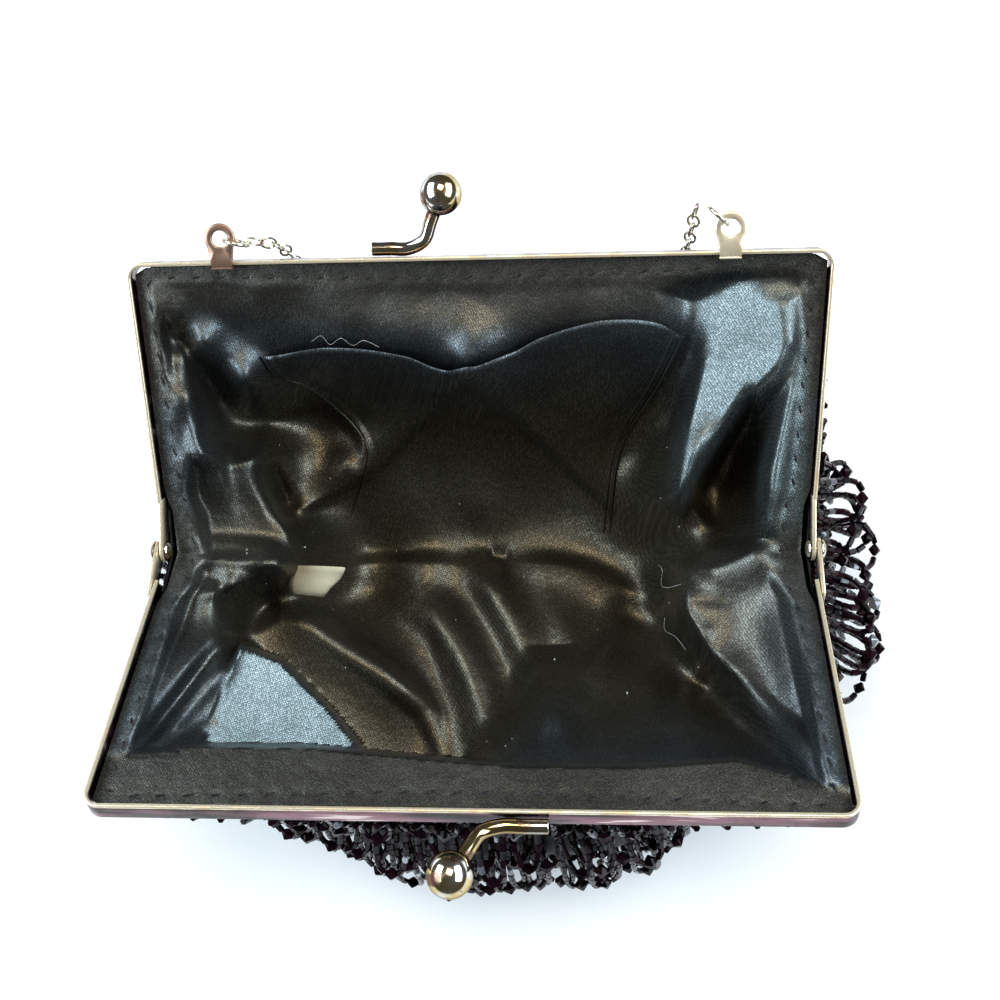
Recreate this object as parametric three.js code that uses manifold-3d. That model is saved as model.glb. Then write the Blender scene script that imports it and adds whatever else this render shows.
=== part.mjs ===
// Beaded evening bag with a hinged clasp frame, standing open on its own bottom.
// Millimetres, +Z up. X runs along the hinge, +Y points to the back half that carries the chain,
// and the origin lies on the rest face, straight under the middle of the hinge.
import * as THREE from 'three';
import { mergeVertices } from 'three/addons/utils/BufferGeometryUtils.js';
import Module from 'manifold-3d';

const wasm = await Module();
wasm.setup();

// Frame
const HINGE_HEIGHT = 72;       // hinge axis above the rest face
const HALF_TILT = 28.7;        // each half above level when the bag stands open, degrees
const FRAME_WIDTH = 170;       // over the bar
const LEG_END_WIDTH = 165.2;   // over the legs beside the hinge
const FRAME_REACH = 73.2;      // hinge axis to the outer face of the bar
const STRIP_WIDTH = 5;
const STRIP_THICK = 1;
const FLANGE_WIDTH = 4;        // turned-in edge that the cloth is sewn to
const FLANGE_THICK = 0.8;
const CORNER_RADIUS = 4;
const CORNER_NOTCH = 5;        // flange and cloth left out beside a corner, so that the strip can bend
const LEG_START = 9.5;         // hinge axis to the end of a leg's strip
const GAP = 0.3;

// Hinge
const LUG_RADIUS = 2.9;
const LUG_THICK = 1;
const LUG_OVERLAP = 4;         // length of a lug along its leg
const LUG_MARGIN = 0.4;        // a lug stays this far inside the strip's edges
const BRIDGE_BITE = 0.5;       // how far the step between a front leg and its lug reaches into both
const BRIDGE_MARGIN = 0.8;
const RIVET_RADIUS = 1.1;
const RIVET_HEAD_RADIUS = 2.6;
const RIVET_HEAD_HEIGHT = 1.2;
const RIVET_HEAD_TAPER = 0.78; // edge of a head's flat, as a part of its radius
const RIVET_SIDES = 12;

// Clasp fingers
const BALL_DIAMETER = 10;
const FINGER_DIAMETER = 3.3;
const BALL_REACH = 14.6;       // outer face of the bar to the middle of a ball
const BALL_SIDES = 14;
const BALL_RINGS = 9;
const FINGER_SIDES = 8;
const FINGER_STEPS = 12;
const FINGER_SHARES = [0.15, 0.5];  // places on the rising arm, from 0 at the bar to 1 at the ball
const FINGER_SWAY = 0.35;      // part of the way along the bar to the ball, where a finger leaves the bar
const SHANK_RADIUS = 0.8;      // two shanks rivet each finger to its bar
const SHANK_SIDES = 10;
const SHANK_INSET = 2.4;
const SHANK_END = 0.05;        // a shank's end, short of the bar's inner face
const HOLE_OVERRUN = 1;        // a hole's tool passes both faces by this

// Chain
const TAB_SPACING = 121.2;
const TAB_HEAD_RADIUS = 3.7;
const TAB_HOLE_RADIUS = 1.95;
const TAB_HEAD_REACH = 5.4;    // outer face of the bar to the middle of the hole
const TAB_WIDTH = 5;
const TAB_NECK = 18;           // degrees below the middle of the head where its straight sides begin
const TAB_THICK = 1;
const TAB_LEG = 2;             // how far a tab reaches down inside the bar
const RING_RADIUS = 3;
const RING_WIRE = 1;
const RING_SIDES = 6;
const RING_STEPS = 16;
const RING_PLAY = 0.5;         // between a ring's wire and the edge of its hole
const CHAIN_DIAMETER = 3.6;
const CHAIN_SIDES = 8;
const CHAIN_STEPS = 40;

// Cloth
const BODY_THICK = 1.4;
const LINING_THICK = 1.2;
const POCKET_THICK = 1.2;
const CLOTH_EDGE_INSET = 0.6;  // outer cloth, behind the strip's outer face
const LINING_EDGE_INSET = STRIP_THICK + 0.35;
const LINING_EDGE_DROP = 2.7;  // lining below the rim, on the flange
const HINGE_TUCK = 3;          // extra inset of the lining beside a hinge
const HINGE_TUCK_REACH = 16;
const LEAN_REACH = 14.3;       // beyond this from the hinge the cloth's edge follows the frame's tilt
const LEG_COLUMNS = 9;
const BODY_BAR_COLUMNS = 16;
const LINING_BAR_COLUMNS = 13;
const LINING_RINGS = 10;

// Fringe of bead loops
const FRINGE_STARTS = [0.05, 0.215, 0.38, 0.545];  // rows down the body, from 0 at the rim to 1 at the base
const FRINGE_DROP = 0.195;
const FRINGE_VALLEY = 0.74;    // length of the fringe between two loops, as a part of a loop's
const FRINGE_STAND = 1.4;      // a row's head band off the cloth
const FRINGE_THICK = 1.1;      // at the head band
const FRINGE_FULLER = 0.4;     // added to the thickness at the loops' ends
const FRINGE_FLARE = 3.8;      // the loops' ends off the cloth, all round
const FRINGE_FLARE_RIGHT = 8;  // and more where the loops are pushed out on the right side
const FRINGE_FLARE_FRONT = 5;  // and on the front
const FLUTE_CREST = 0.3;
const FLUTE_VALLEY = -0.5;

const TILT = THREE.MathUtils.degToRad(HALF_TILT);
const BAR_FOLD = FRAME_REACH - STRIP_THICK;

const FINISHES = {
  frame: { color: 0xd9d3c4, roughness: 0.18, metalness: 1 },
  chain: { color: 0xcfcabd, roughness: 0.25, metalness: 1 },
  satin: { color: 0x1b2029, roughness: 0.5, metalness: 0 },
  lining: { color: 0x0b0c0e, roughness: 0.42, metalness: 0 },
  label: { color: 0xe9e7df, roughness: 0.7, metalness: 0 },
  beads: { color: 0x1a0f17, roughness: 0.15, metalness: 0 },
};

const bag = new THREE.Group();
const hinge = new THREE.Group();
hinge.position.z = HINGE_HEIGHT;
bag.add(hinge);

// Each half of the frame is drawn lying flat: x along the bar, y from the hinge to the bar,
// z towards the inside of the bag, with the rim at z = 0.
const backHalf = new THREE.Group();
backHalf.rotation.x = TILT;
const frontTurn = new THREE.Group();
frontTurn.rotation.z = Math.PI;
const frontHalf = new THREE.Group();
frontHalf.rotation.x = TILT;
frontTurn.add(frontHalf);
hinge.add(backHalf, frontTurn);

function addPiece(parent, name, finish, geometry) {
  const piece = new THREE.Mesh(geometry, new THREE.MeshStandardMaterial(FINISHES[finish]));
  piece.name = name;
  parent.add(piece);
  return piece;
}

// Solids

function solidOf(geometry) {
  const bare = geometry.clone();
  for (const name of Object.keys(bare.attributes)) {
    if (name !== 'position') bare.deleteAttribute(name);
  }
  const merged = mergeVertices(bare, 1e-4);
  const triangles = [];
  for (let i = 0; i < merged.index.count; i += 3) {
    const [a, b, c] = [0, 1, 2].map((k) => merged.index.getX(i + k));
    if (a !== b && b !== c && c !== a) triangles.push(a, b, c);
  }
  return new wasm.Manifold(new wasm.Mesh({
    numProp: 3,
    vertProperties: new Float32Array(merged.attributes.position.array),
    triVerts: new Uint32Array(triangles),
  }));
}

function geometryOf(solid) {
  const mesh = solid.getMesh();
  const geometry = new THREE.BufferGeometry();
  geometry.setAttribute('position', new THREE.BufferAttribute(mesh.vertProperties, 3));
  geometry.setIndex(new THREE.BufferAttribute(mesh.triVerts, 1));
  geometry.computeVertexNormals();
  return geometry;
}

function join(...geometries) {
  return geometries.map(solidOf).reduce((whole, next) => whole.add(next));
}

const CURVE_SEGMENTS = 6;

function plate(shape, low, high) {
  const options = { depth: high - low, bevelEnabled: false, curveSegments: CURVE_SEGMENTS };
  return new THREE.ExtrudeGeometry(shape, options).translate(0, 0, low);
}

// A plate that stands across x: the shape's x and y become y and z.
function sidePlate(shape, low, high) {
  const turn = new THREE.Matrix4().makeBasis(
    new THREE.Vector3(0, 1, 0), new THREE.Vector3(0, 0, 1), new THREE.Vector3(1, 0, 0));
  return plate(shape, low, high).applyMatrix4(turn);
}

function box(low, high) {
  const size = high.map((value, axis) => value - low[axis]);
  const middle = high.map((value, axis) => (value + low[axis]) / 2);
  return new THREE.BoxGeometry(...size).translate(...middle);
}

function rod(points, radius, sides, steps) {
  const section = new THREE.Shape().absarc(0, 0, radius, 0, 2 * Math.PI);
  return new THREE.ExtrudeGeometry(section, {
    steps,
    curveSegments: sides / 2,
    bevelEnabled: false,
    extrudePath: new THREE.CatmullRomCurve3(points.map((point) => new THREE.Vector3(...point))),
  });
}

// Frame halves

function legX(y) {
  const share = (y - LEG_START) / (FRAME_REACH - LEG_START);
  return (LEG_END_WIDTH + (FRAME_WIDTH - LEG_END_WIDTH) * share) / 2;
}

function archPoints(inset) {
  const radius = CORNER_RADIUS - inset;
  const top = FRAME_REACH - inset;
  const right = new THREE.Path();
  right.moveTo(legX(LEG_START) - inset, LEG_START);
  right.lineTo(legX(top - radius) - inset, top - radius);
  right.quadraticCurveTo(legX(top) - inset, top, legX(top) - inset - radius, top);
  const points = right.getPoints(CURVE_SEGMENTS - 1);
  const mirrored = points.map((point) => new THREE.Vector2(-point.x, point.y)).reverse();
  return [...points, ...mirrored];
}

function stripShape() {
  return new THREE.Shape([...archPoints(0), ...archPoints(STRIP_THICK).reverse()]);
}

const LUG_OUTER = LEG_END_WIDTH / 2;                    // back lugs lie in line with their legs
const FRONT_LUG_INNER = LUG_OUTER + GAP;                // front lugs lie outside them
const FRONT_LUG_OUTER = FRONT_LUG_INNER + LUG_THICK;

function lugShape() {
  const end = LEG_START + LUG_OVERLAP;
  const shape = new THREE.Shape();
  shape.moveTo(end, -STRIP_WIDTH + LUG_MARGIN);
  shape.lineTo(end, -LUG_MARGIN / 2);
  shape.lineTo(0, LUG_RADIUS);
  shape.absarc(0, 0, LUG_RADIUS, Math.PI / 2, 1.5 * Math.PI);
  shape.lineTo(LEG_START, -STRIP_WIDTH + LUG_MARGIN);
  shape.holes.push(new THREE.Path().absarc(0, 0, RIVET_RADIUS + GAP, 0, 2 * Math.PI));
  return shape;
}

function lugPair(inner, outer) {
  return [sidePlate(lugShape(), inner, outer), sidePlate(lugShape(), -outer, -inner)];
}

function flanges() {
  const low = -STRIP_WIDTH;
  const high = low + FLANGE_THICK;
  const halfBar = FRAME_WIDTH / 2 - CORNER_NOTCH;
  const seam = STRIP_THICK / 3;                         // reaches into the strip that it is bent from
  const bar = box([-halfBar, BAR_FOLD - FLANGE_WIDTH, low], [halfBar, BAR_FOLD + seam, high]);
  const from = LEG_START + LUG_OVERLAP;
  const to = FRAME_REACH - CORNER_NOTCH;
  const outline = (side) => new THREE.Shape([
    new THREE.Vector2(side * (legX(from) - STRIP_THICK + seam), from),
    new THREE.Vector2(side * (legX(to) - STRIP_THICK + seam), to),
    new THREE.Vector2(side * (legX(to) - STRIP_THICK - FLANGE_WIDTH), to),
    new THREE.Vector2(side * (legX(from) - STRIP_THICK - FLANGE_WIDTH), from),
  ]);
  return [bar, plate(outline(1), low, high), plate(outline(-1), low, high)];
}

// The fingers' fixed ends lie on the bar; x runs along it from the middle.
const FINGERS = {
  back: { tail: -24.4, bend: -15.6, ball: -7 },
  front: { tail: -18.7, bend: -8.5, ball: 1.5 },
};
const FINGER_Y = FRAME_REACH + FINGER_DIAMETER / 2 + GAP;
const FINGER_Z = -STRIP_WIDTH / 2;

function shankPlaces(finger) {
  const along = Math.sign(finger.ball - finger.tail);
  return [finger.tail + along * SHANK_INSET, finger.bend - along * SHANK_INSET];
}

function shank(x, radius, from, to) {
  const pin = new THREE.CylinderGeometry(radius, radius, to - from, SHANK_SIDES);
  return pin.translate(x, (from + to) / 2, FINGER_Z);
}

function frameHalf(finger, lugInner, lugOuter) {
  let half = join(plate(stripShape(), -STRIP_WIDTH, 0), ...flanges(), ...lugPair(lugInner, lugOuter));
  if (lugInner > legX(LEG_START)) {
    const bridge = (side) => {
      const [near, far] = [legX(LEG_START) - BRIDGE_BITE, lugInner + BRIDGE_BITE].map((x) => side * x);
      return box(
        [Math.min(near, far), LEG_START, -STRIP_WIDTH + BRIDGE_MARGIN],
        [Math.max(near, far), LEG_START + LUG_OVERLAP - LUG_MARGIN, -BRIDGE_MARGIN]);
    };
    half = half.add(solidOf(bridge(1))).add(solidOf(bridge(-1)));
  }
  for (const x of shankPlaces(finger)) {
    const hole = shank(x, SHANK_RADIUS + GAP, BAR_FOLD - HOLE_OVERRUN, FRAME_REACH + HOLE_OVERRUN);
    half = half.subtract(solidOf(hole));
  }
  return geometryOf(half);
}

function claspFinger(finger) {
  const ballY = FRAME_REACH + BALL_REACH;
  const rise = (share) => [
    THREE.MathUtils.lerp(finger.bend, finger.ball, FINGER_SWAY + (1 - FINGER_SWAY) * share),
    FINGER_Y + (ballY - FINGER_Y) * share,
    FINGER_Z * (1 - share),
  ];
  const arm = rod([
    [finger.tail, FINGER_Y, FINGER_Z],
    [(finger.tail + finger.bend) / 2, FINGER_Y, FINGER_Z],
    [finger.bend, FINGER_Y, FINGER_Z],
    ...FINGER_SHARES.map(rise),
    [finger.ball, ballY, 0],
  ], FINGER_DIAMETER / 2, FINGER_SIDES, FINGER_STEPS);
  const ball = new THREE.SphereGeometry(BALL_DIAMETER / 2, BALL_SIDES, BALL_RINGS).rotateX(Math.PI / 2);
  ball.translate(finger.ball, ballY, 0);
  const shanks = shankPlaces(finger).map((x) => shank(x, SHANK_RADIUS, BAR_FOLD + SHANK_END, FINGER_Y));
  return geometryOf(join(arm, ball, ...shanks));
}

function rivet(side) {
  const inner = LUG_OUTER - LUG_THICK - GAP;
  const outer = FRONT_LUG_OUTER + GAP;
  const profile = [
    [0, inner - RIVET_HEAD_HEIGHT],
    [RIVET_HEAD_RADIUS * RIVET_HEAD_TAPER, inner - RIVET_HEAD_HEIGHT],
    [RIVET_HEAD_RADIUS, inner],
    [RIVET_RADIUS, inner],
    [RIVET_RADIUS, outer],
    [RIVET_HEAD_RADIUS, outer],
    [RIVET_HEAD_RADIUS * RIVET_HEAD_TAPER, outer + RIVET_HEAD_HEIGHT * RIVET_HEAD_TAPER],
    [0, outer + RIVET_HEAD_HEIGHT],
  ].map(([radius, along]) => new THREE.Vector2(radius, along));
  const lathe = new THREE.LatheGeometry(profile, RIVET_SIDES).rotateZ(-side * Math.PI / 2);
  return geometryOf(solidOf(lathe));
}

const backFrame = frameHalf(FINGERS.back, LUG_OUTER - LUG_THICK, LUG_OUTER);
const frontFrame = frameHalf(FINGERS.front, FRONT_LUG_INNER, FRONT_LUG_OUTER);
addPiece(backHalf, 'frame_back', 'frame', backFrame);
addPiece(frontHalf, 'frame_front', 'frame', frontFrame);
addPiece(backHalf, 'clasp_back', 'frame', claspFinger(FINGERS.back));
addPiece(frontHalf, 'clasp_front', 'frame', claspFinger(FINGERS.front));
addPiece(hinge, 'hinge_rivet_left', 'frame', rivet(-1));
addPiece(hinge, 'hinge_rivet_right', 'frame', rivet(1));

// Chain tabs, each with a jump ring through its hole

const TABS = [
  { name: 'left', x: -TAB_SPACING / 2, ringTurn: -14 },
  { name: 'right', x: TAB_SPACING / 2, ringTurn: 138 },
];
const TAB_Z = GAP + TAB_THICK / 2;
const RING_OFFSET = RING_RADIUS + TAB_HOLE_RADIUS - RING_WIRE / 2 - RING_PLAY;

function tab() {
  const head = FRAME_REACH + TAB_HEAD_REACH;
  const inside = BAR_FOLD - GAP;
  const neck = THREE.MathUtils.degToRad(TAB_NECK);
  const shape = new THREE.Shape();
  shape.moveTo(-TAB_WIDTH / 2, inside - TAB_THICK);
  shape.lineTo(TAB_WIDTH / 2, inside - TAB_THICK);
  shape.absarc(0, head, TAB_HEAD_RADIUS, -neck, Math.PI + neck);
  shape.holes.push(new THREE.Path().absarc(0, head, TAB_HOLE_RADIUS, 0, 2 * Math.PI));
  const leg = box([-TAB_WIDTH / 2, inside - TAB_THICK, -TAB_LEG], [TAB_WIDTH / 2, inside, TAB_Z]);
  return geometryOf(join(plate(shape, GAP, GAP + TAB_THICK), leg));
}

for (const { name, x, ringTurn } of TABS) {
  const place = addPiece(backHalf, `chain_tab_${name}`, 'frame', tab());
  place.position.x = x;
  const turn = THREE.MathUtils.degToRad(ringTurn);
  const ring = new THREE.TorusGeometry(RING_RADIUS, RING_WIRE / 2, RING_SIDES, RING_STEPS);
  ring.rotateX(Math.PI / 2).rotateZ(turn);
  const link = addPiece(backHalf, `jump_ring_${name}`, 'chain', geometryOf(solidOf(ring)));
  link.position.set(
    x + RING_OFFSET * Math.cos(turn),
    FRAME_REACH + TAB_HEAD_REACH + RING_OFFSET * Math.sin(turn),
    TAB_Z);
}

// The chain runs from ring to ring: over the bar, down behind the bag and in a bow along the surface
// that the bag stands on. Both ends hang alike: back is y and height is z of a place on the way down.
const CHAIN_DROP = [
  { back: 71.2, height: 92 },
  { back: 72, height: 86 },
  { back: 74.5, height: 78 },
  { back: 77.5, height: 70 },
  { back: 81.2, height: 60 },
  { back: 84.4, height: 50 },
  { back: 86, height: 38 },
  { back: 85.6, height: 20 },
  { back: 86.4, height: 8.5 },
  { back: 90, height: 2.6 },
];
const CHAIN_LEFT = { x: -47, hook: [[-52.4, 68.4, 109], [-49.6, 69.4, 105.6], [-47.6, 70.6, 99]] };
const CHAIN_RIGHT = { x: 51.5, hook: [[52.4, 72.3, 112.2], [52.1, 71.6, 106.5], [51.8, 71.2, 99]] };
const BOW = { turns: 9, inset: 4, back: 91, depth: 14, height: 2 };

function chainRoute() {
  const down = ({ x, hook }) => [...hook, ...CHAIN_DROP.map(({ back, height }) => [x, back, height])];
  const from = CHAIN_LEFT.x + BOW.inset;
  const to = CHAIN_RIGHT.x - BOW.inset;
  const bow = Array.from({ length: BOW.turns }, (_, k) => {
    const turn = Math.PI * (k + 1) / (BOW.turns + 1);
    const x = (from + to) / 2 - (to - from) / 2 * Math.cos(turn);
    return [x, BOW.back + BOW.depth * Math.sin(turn), BOW.height];
  });
  return [...down(CHAIN_LEFT), ...bow, ...down(CHAIN_RIGHT).reverse()];
}

const chainTube = rod(chainRoute(), CHAIN_DIAMETER / 2, CHAIN_SIDES, CHAIN_STEPS);
addPiece(bag, 'chain', 'chain', geometryOf(solidOf(chainTube)));

// Cloth shared shapes

function smooth(from, to, value) {
  return THREE.MathUtils.smoothstep(value, from, to);
}

// The sewn edge as stations round the mouth: right back leg, back bar, left back leg, then the front half.
// The cloth leaves the corners of the frame bare.
function edgeStations(barColumns) {
  const half = [];
  const legEnd = FRAME_REACH - CORNER_NOTCH;
  const barEnd = 1 - CORNER_NOTCH / (FRAME_WIDTH / 2);
  const leg = (k, bar) => ({ side: 1, y: legEnd * k / LEG_COLUMNS, bar });
  for (let k = 0; k <= LEG_COLUMNS; k += 1) half.push(leg(k, 1));
  for (let k = 0; k <= barColumns; k += 1) {
    half.push({ side: 1, y: FRAME_REACH, bar: barEnd * (1 - 2 * k / barColumns) });
  }
  for (let k = LEG_COLUMNS; k > 0; k -= 1) half.push(leg(k, -1));
  return [...half, ...half.map(({ y, bar }) => ({ side: -1, y, bar: -bar }))];
}

// A point of the sewn edge, set in from the strip's outer face and down from the rim.
function edgePoint({ side, y, bar }, inset, drop, hingeTuck = 0) {
  const tuck = hingeTuck * (1 - smooth(LEG_START, HINGE_TUCK_REACH, y));
  const reach = Math.min(y, FRAME_REACH - inset);
  const lean = smooth(0, LEAN_REACH, reach);
  const x = bar * (legX(reach) - inset - tuck);
  const across = reach * Math.cos(TILT) + drop * Math.sin(TILT) * lean;
  const up = reach * Math.sin(TILT) - drop * Math.cos(TILT * lean);
  return new THREE.Vector3(x, side * across, HINGE_HEIGHT + up);
}

// A closed wall between two grids of points, joined along their first rows and closed at their last points.
function wall(outer, inner) {
  const positions = [];
  const triangles = [];
  const columns = outer.rows[0].length;
  const lay = (row) => row.map((point) => positions.push(point.x, point.y, point.z) / 3 - 1);
  const face = (a, b, c, d) => triangles.push(a, b, c, a, c, d);
  const strip = (upper, lower) => {
    for (let j = 0; j < columns; j += 1) {
      const next = (j + 1) % columns;
      face(upper[j], lower[j], lower[next], upper[next]);
    }
  };
  const fan = (row, tip) => {
    for (let j = 0; j < columns; j += 1) triangles.push(row[j], tip, row[(j + 1) % columns]);
  };
  const outerRows = outer.rows.map(lay);
  const innerRows = inner.rows.map(lay);
  const [outerTip, innerTip] = lay([outer.tip, inner.tip]);
  for (let i = 0; i + 1 < outerRows.length; i += 1) strip(outerRows[i], outerRows[i + 1]);
  for (let i = 0; i + 1 < innerRows.length; i += 1) strip(innerRows[i + 1], innerRows[i]);
  strip(innerRows[0], outerRows[0]);
  fan(outerRows.at(-1), outerTip);
  for (let j = 0; j < columns; j += 1) {
    triangles.push(innerRows.at(-1)[(j + 1) % columns], innerTip, innerRows.at(-1)[j]);
  }
  const geometry = new THREE.BufferGeometry();
  geometry.setAttribute('position', new THREE.Float32BufferAttribute(positions, 3));
  geometry.setIndex(triangles);
  return geometry;
}

// Outer body: lofted from the sewn edge through level ovals to a flat bottom.
// share is the part of the edge's height at that place, square is 2 for an oval and more for a boxy
// outline; halves and shift are in millimetres.
const BODY_SECTIONS = [
  { share: 0.74, halfX: 83, halfY: 61.5, shiftX: 1, square: 4 },
  { share: 0.42, halfX: 92, halfY: 77, shiftX: 3, square: 2 },
  { share: 0.14, halfX: 85, halfY: 69, shiftX: 3, square: 2.1 },
  { share: 0, halfX: 62, halfY: 45, shiftX: 3, square: 2.2 },
];
// Hollow folds that run down the body: turn and wide in degrees round the body, deep in millimetres.
const BODY_FOLDS = [
  { turn: 0, wide: 7, deep: 4 },
  { turn: 38, wide: 6, deep: 2 },
  { turn: 66, wide: 5, deep: 1.6 },
  { turn: 97, wide: 6, deep: 2 },
  { turn: 128, wide: 5, deep: 1.6 },
  { turn: 152, wide: 5, deep: 2 },
  { turn: 181, wide: 7, deep: 4 },
  { turn: 214, wide: 6, deep: 2 },
  { turn: 246, wide: 5, deep: 1.6 },
  { turn: 275, wide: 6, deep: 2 },
  { turn: 304, wide: 5, deep: 1.6 },
  { turn: 333, wide: 5, deep: 2 },
];
const BODY_EDGE_DROP = STRIP_WIDTH + GAP;
// The folds open from the top to the first full level, and close from the second one to the bottom.
const FOLD_LEVELS = { top: 0.08, full: 0.4, closing: 0.5, bottom: 0.8 };

function foldDepth(turn, down) {
  const { top, full, closing, bottom } = FOLD_LEVELS;
  const fade = smooth(top, full, down) * (1 - smooth(closing, bottom, down));
  let depth = 0;
  for (const fold of BODY_FOLDS) {
    const away = (THREE.MathUtils.euclideanModulo(turn - fold.turn + 180, 360) - 180) / fold.wide;
    depth += fold.deep * Math.exp(-away * away);
  }
  return depth * fade;
}

// The line down the body from one station of the sewn edge: a curve through the sections.
function bodyColumn(station) {
  const edge = edgePoint(station, CLOTH_EDGE_INSET, BODY_EDGE_DROP);
  const turn = Math.atan2(edge.y / BODY_SECTIONS[0].halfY, edge.x / BODY_SECTIONS[0].halfX);
  const [across, deep] = [Math.cos(turn), Math.sin(turn)];
  const points = BODY_SECTIONS.map(({ share, halfX, halfY, shiftX, square }) => {
    const swell = (Math.abs(across) ** square + Math.abs(deep) ** square) ** (-1 / square);
    return new THREE.Vector3(shiftX + halfX * across * swell, halfY * deep * swell, share * edge.z);
  });
  const curve = new THREE.CatmullRomCurve3([edge, ...points], false, 'centripetal');
  return { curve, turn, out: new THREE.Vector3(Math.cos(turn), Math.sin(turn), 0) };
}

const OUTER_DOWNS = [0.12, 0.25, 0.38, 0.5, 0.62, 0.75, 0.88, 1];
const INNER_DOWNS = [0.12, 0.3, 0.5, 0.7, 0.86, 1];
const bodyStations = edgeStations(BODY_BAR_COLUMNS);
const bodyColumns = bodyStations.map(bodyColumn);

// A point beside the body: how far down, from 0 at the edge to 1 at the base, and how far out from the cloth.
function besideBody(column, down, out) {
  const point = column.curve.getPoint(down);
  const along = column.curve.getTangent(down);
  const sideways = new THREE.Vector3(-column.out.y, column.out.x, 0);
  const normal = along.cross(sideways).normalize();
  const hollow = foldDepth(THREE.MathUtils.radToDeg(column.turn), down);
  return point.addScaledVector(normal, out - hollow);
}

// Rows of the body's face that lies inset from the outer one, with its first row under the flange.
function bodyRows(inset) {
  const sewn = bodyStations.map((station) => edgePoint(station, CLOTH_EDGE_INSET + inset, BODY_EDGE_DROP));
  const lower = (inset ? INNER_DOWNS : OUTER_DOWNS).map((down) => bodyColumns.map((column) => {
    const point = besideBody(column, down, -inset);
    point.z = down < 1 ? Math.max(point.z, inset) : inset;
    return point;
  }));
  return { rows: [sewn, ...lower], tip: new THREE.Vector3(BODY_SECTIONS.at(-1).shiftX, 0, inset) };
}

addPiece(bag, 'bag_body', 'satin', geometryOf(solidOf(wall(bodyRows(0), bodyRows(BODY_THICK)))));

// How far the loops' ends are pushed out: on the right side within reach of its middle, and on the front.
const RIGHT_REACH = { middle: 1, full: 20, none: 34 };
const FRONT_REACH = { middle: -5, full: 42, none: 60 };
const BELLY = 0.5;             // the widest level of the body

function flareOf(column) {
  const { x, y } = besideBody(column, BELLY, 0);
  const near = (value, { middle, full, none }) => 1 - smooth(full, none, Math.abs(value - middle));
  const onRight = x > 0 ? near(y, RIGHT_REACH) : 0;
  const onFront = y < 0 ? near(x, FRONT_REACH) : 0;
  return FRINGE_FLARE + FRINGE_FLARE_RIGHT * onRight + FRINGE_FLARE_FRONT * onFront;
}

// Fringe rows: each is a head band on the cloth with a skirt of bead loops, one flute for each loop.
function fringeRow(start) {
  const positions = [];
  const triangles = [];
  const corners = 4;
  bodyColumns.forEach((column, j) => {
    const tip = j % 2 ? FRINGE_VALLEY : 1;
    const flute = j % 2 ? FLUTE_VALLEY : FLUTE_CREST;
    const flare = flareOf(column);
    const at = (share, face) => {
      const outside = face ? FRINGE_THICK + (FRINGE_FULLER + flute) * share : 0;
      return besideBody(column, start + FRINGE_DROP * share, FRINGE_STAND + flare * share + outside);
    };
    for (const point of [at(0, false), at(0, true), at(tip, true), at(tip, false)]) {
      positions.push(point.x, point.y, point.z);
    }
  });
  for (let j = 0; j < bodyColumns.length; j += 1) {
    const here = j * corners;
    const there = ((j + 1) % bodyColumns.length) * corners;
    for (let k = 0; k < corners; k += 1) {
      const next = (k + 1) % corners;
      triangles.push(here + k, here + next, there + next, here + k, there + next, there + k);
    }
  }
  const geometry = new THREE.BufferGeometry();
  geometry.setAttribute('position', new THREE.Float32BufferAttribute(positions, 3));
  geometry.setIndex(triangles);
  return geometry;
}

FRINGE_STARTS.forEach((start, row) => {
  addPiece(bag, `bead_fringe_${row + 1}`, 'beads', geometryOf(solidOf(fringeRow(start))));
});

// Lining: laid out as it is looked into. A place in the mouth is where a line from the eye crosses
// the hinge's level, and each point of the cloth lies on its line at a height above or below that level.
const EYE = new THREE.Vector3(32, -64, 324);
const MOUTH_MIDDLE = { x: -2, y: 2 };
const FIRST_RING = 7;          // flat border that covers the flange
const FOLDS_FULL = 16;         // folds begin at the first ring and are full here
const LINING_FLOOR = -59;
const LINING_LOWEST = -64;
const LINING_STAND = 1;        // the most that a fold stands above the border's plane

// Flat border and fall to the floor round the mouth: turn in degrees from +X, the rest in millimetres.
const MOUTH_STATIONS = [
  { turn: 0, border: 7, fall: 36 },
  { turn: 38, border: 12, fall: 56 },
  { turn: 62, border: 24, fall: 44 },
  { turn: 92, border: 27, fall: 32 },
  { turn: 118, border: 22, fall: 44 },
  { turn: 142, border: 20, fall: 70 },
  { turn: 180, border: 9, fall: 48 },
  { turn: 216, border: 14, fall: 62 },
  { turn: 245, border: 14, fall: 34 },
  { turn: 270, border: 11, fall: 22 },
  { turn: 300, border: 11, fall: 26 },
  { turn: 324, border: 9, fall: 46 },
  { turn: 345, border: 7, fall: 36 },
];
// Panels where the cloth lies taut: a slanting plane over an oblong patch of the mouth. x and y are its
// middle, long and wide its half lengths, turn is in degrees, height belongs to its middle and the slopes
// are rises for each millimetre along x and y.
const LINING_PANELS = [
  { x: -33, y: -36, long: 32, wide: 12, turn: -42, height: -35, slopeX: -0.38, slopeY: 0 },
  { x: -53, y: -44, long: 22, wide: 12, turn: -28, height: 0.5, slopeX: -0.56, slopeY: 0 },
  { x: 2, y: -27, long: 24, wide: 14, turn: 62, height: -48, slopeX: 0, slopeY: -0.3 },
  { x: 66, y: -17, long: 20, wide: 13, turn: 78, height: -5.5, slopeX: 0.52, slopeY: -0.05 },
  { x: 65, y: 51, long: 15, wide: 12, turn: 10, height: 12, slopeX: 0.55, slopeY: 0.2 },
  { x: 77, y: 29, long: 20, wide: 5, turn: 84, height: 8, slopeX: 0.6, slopeY: 0.25 },
];
const PANEL_SQUARE = 4;        // 2 for an oval patch, more for a boxy one
const PANEL_SOFT = 0.3;        // width of a patch's soft edge, as a part of its half lengths
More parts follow.
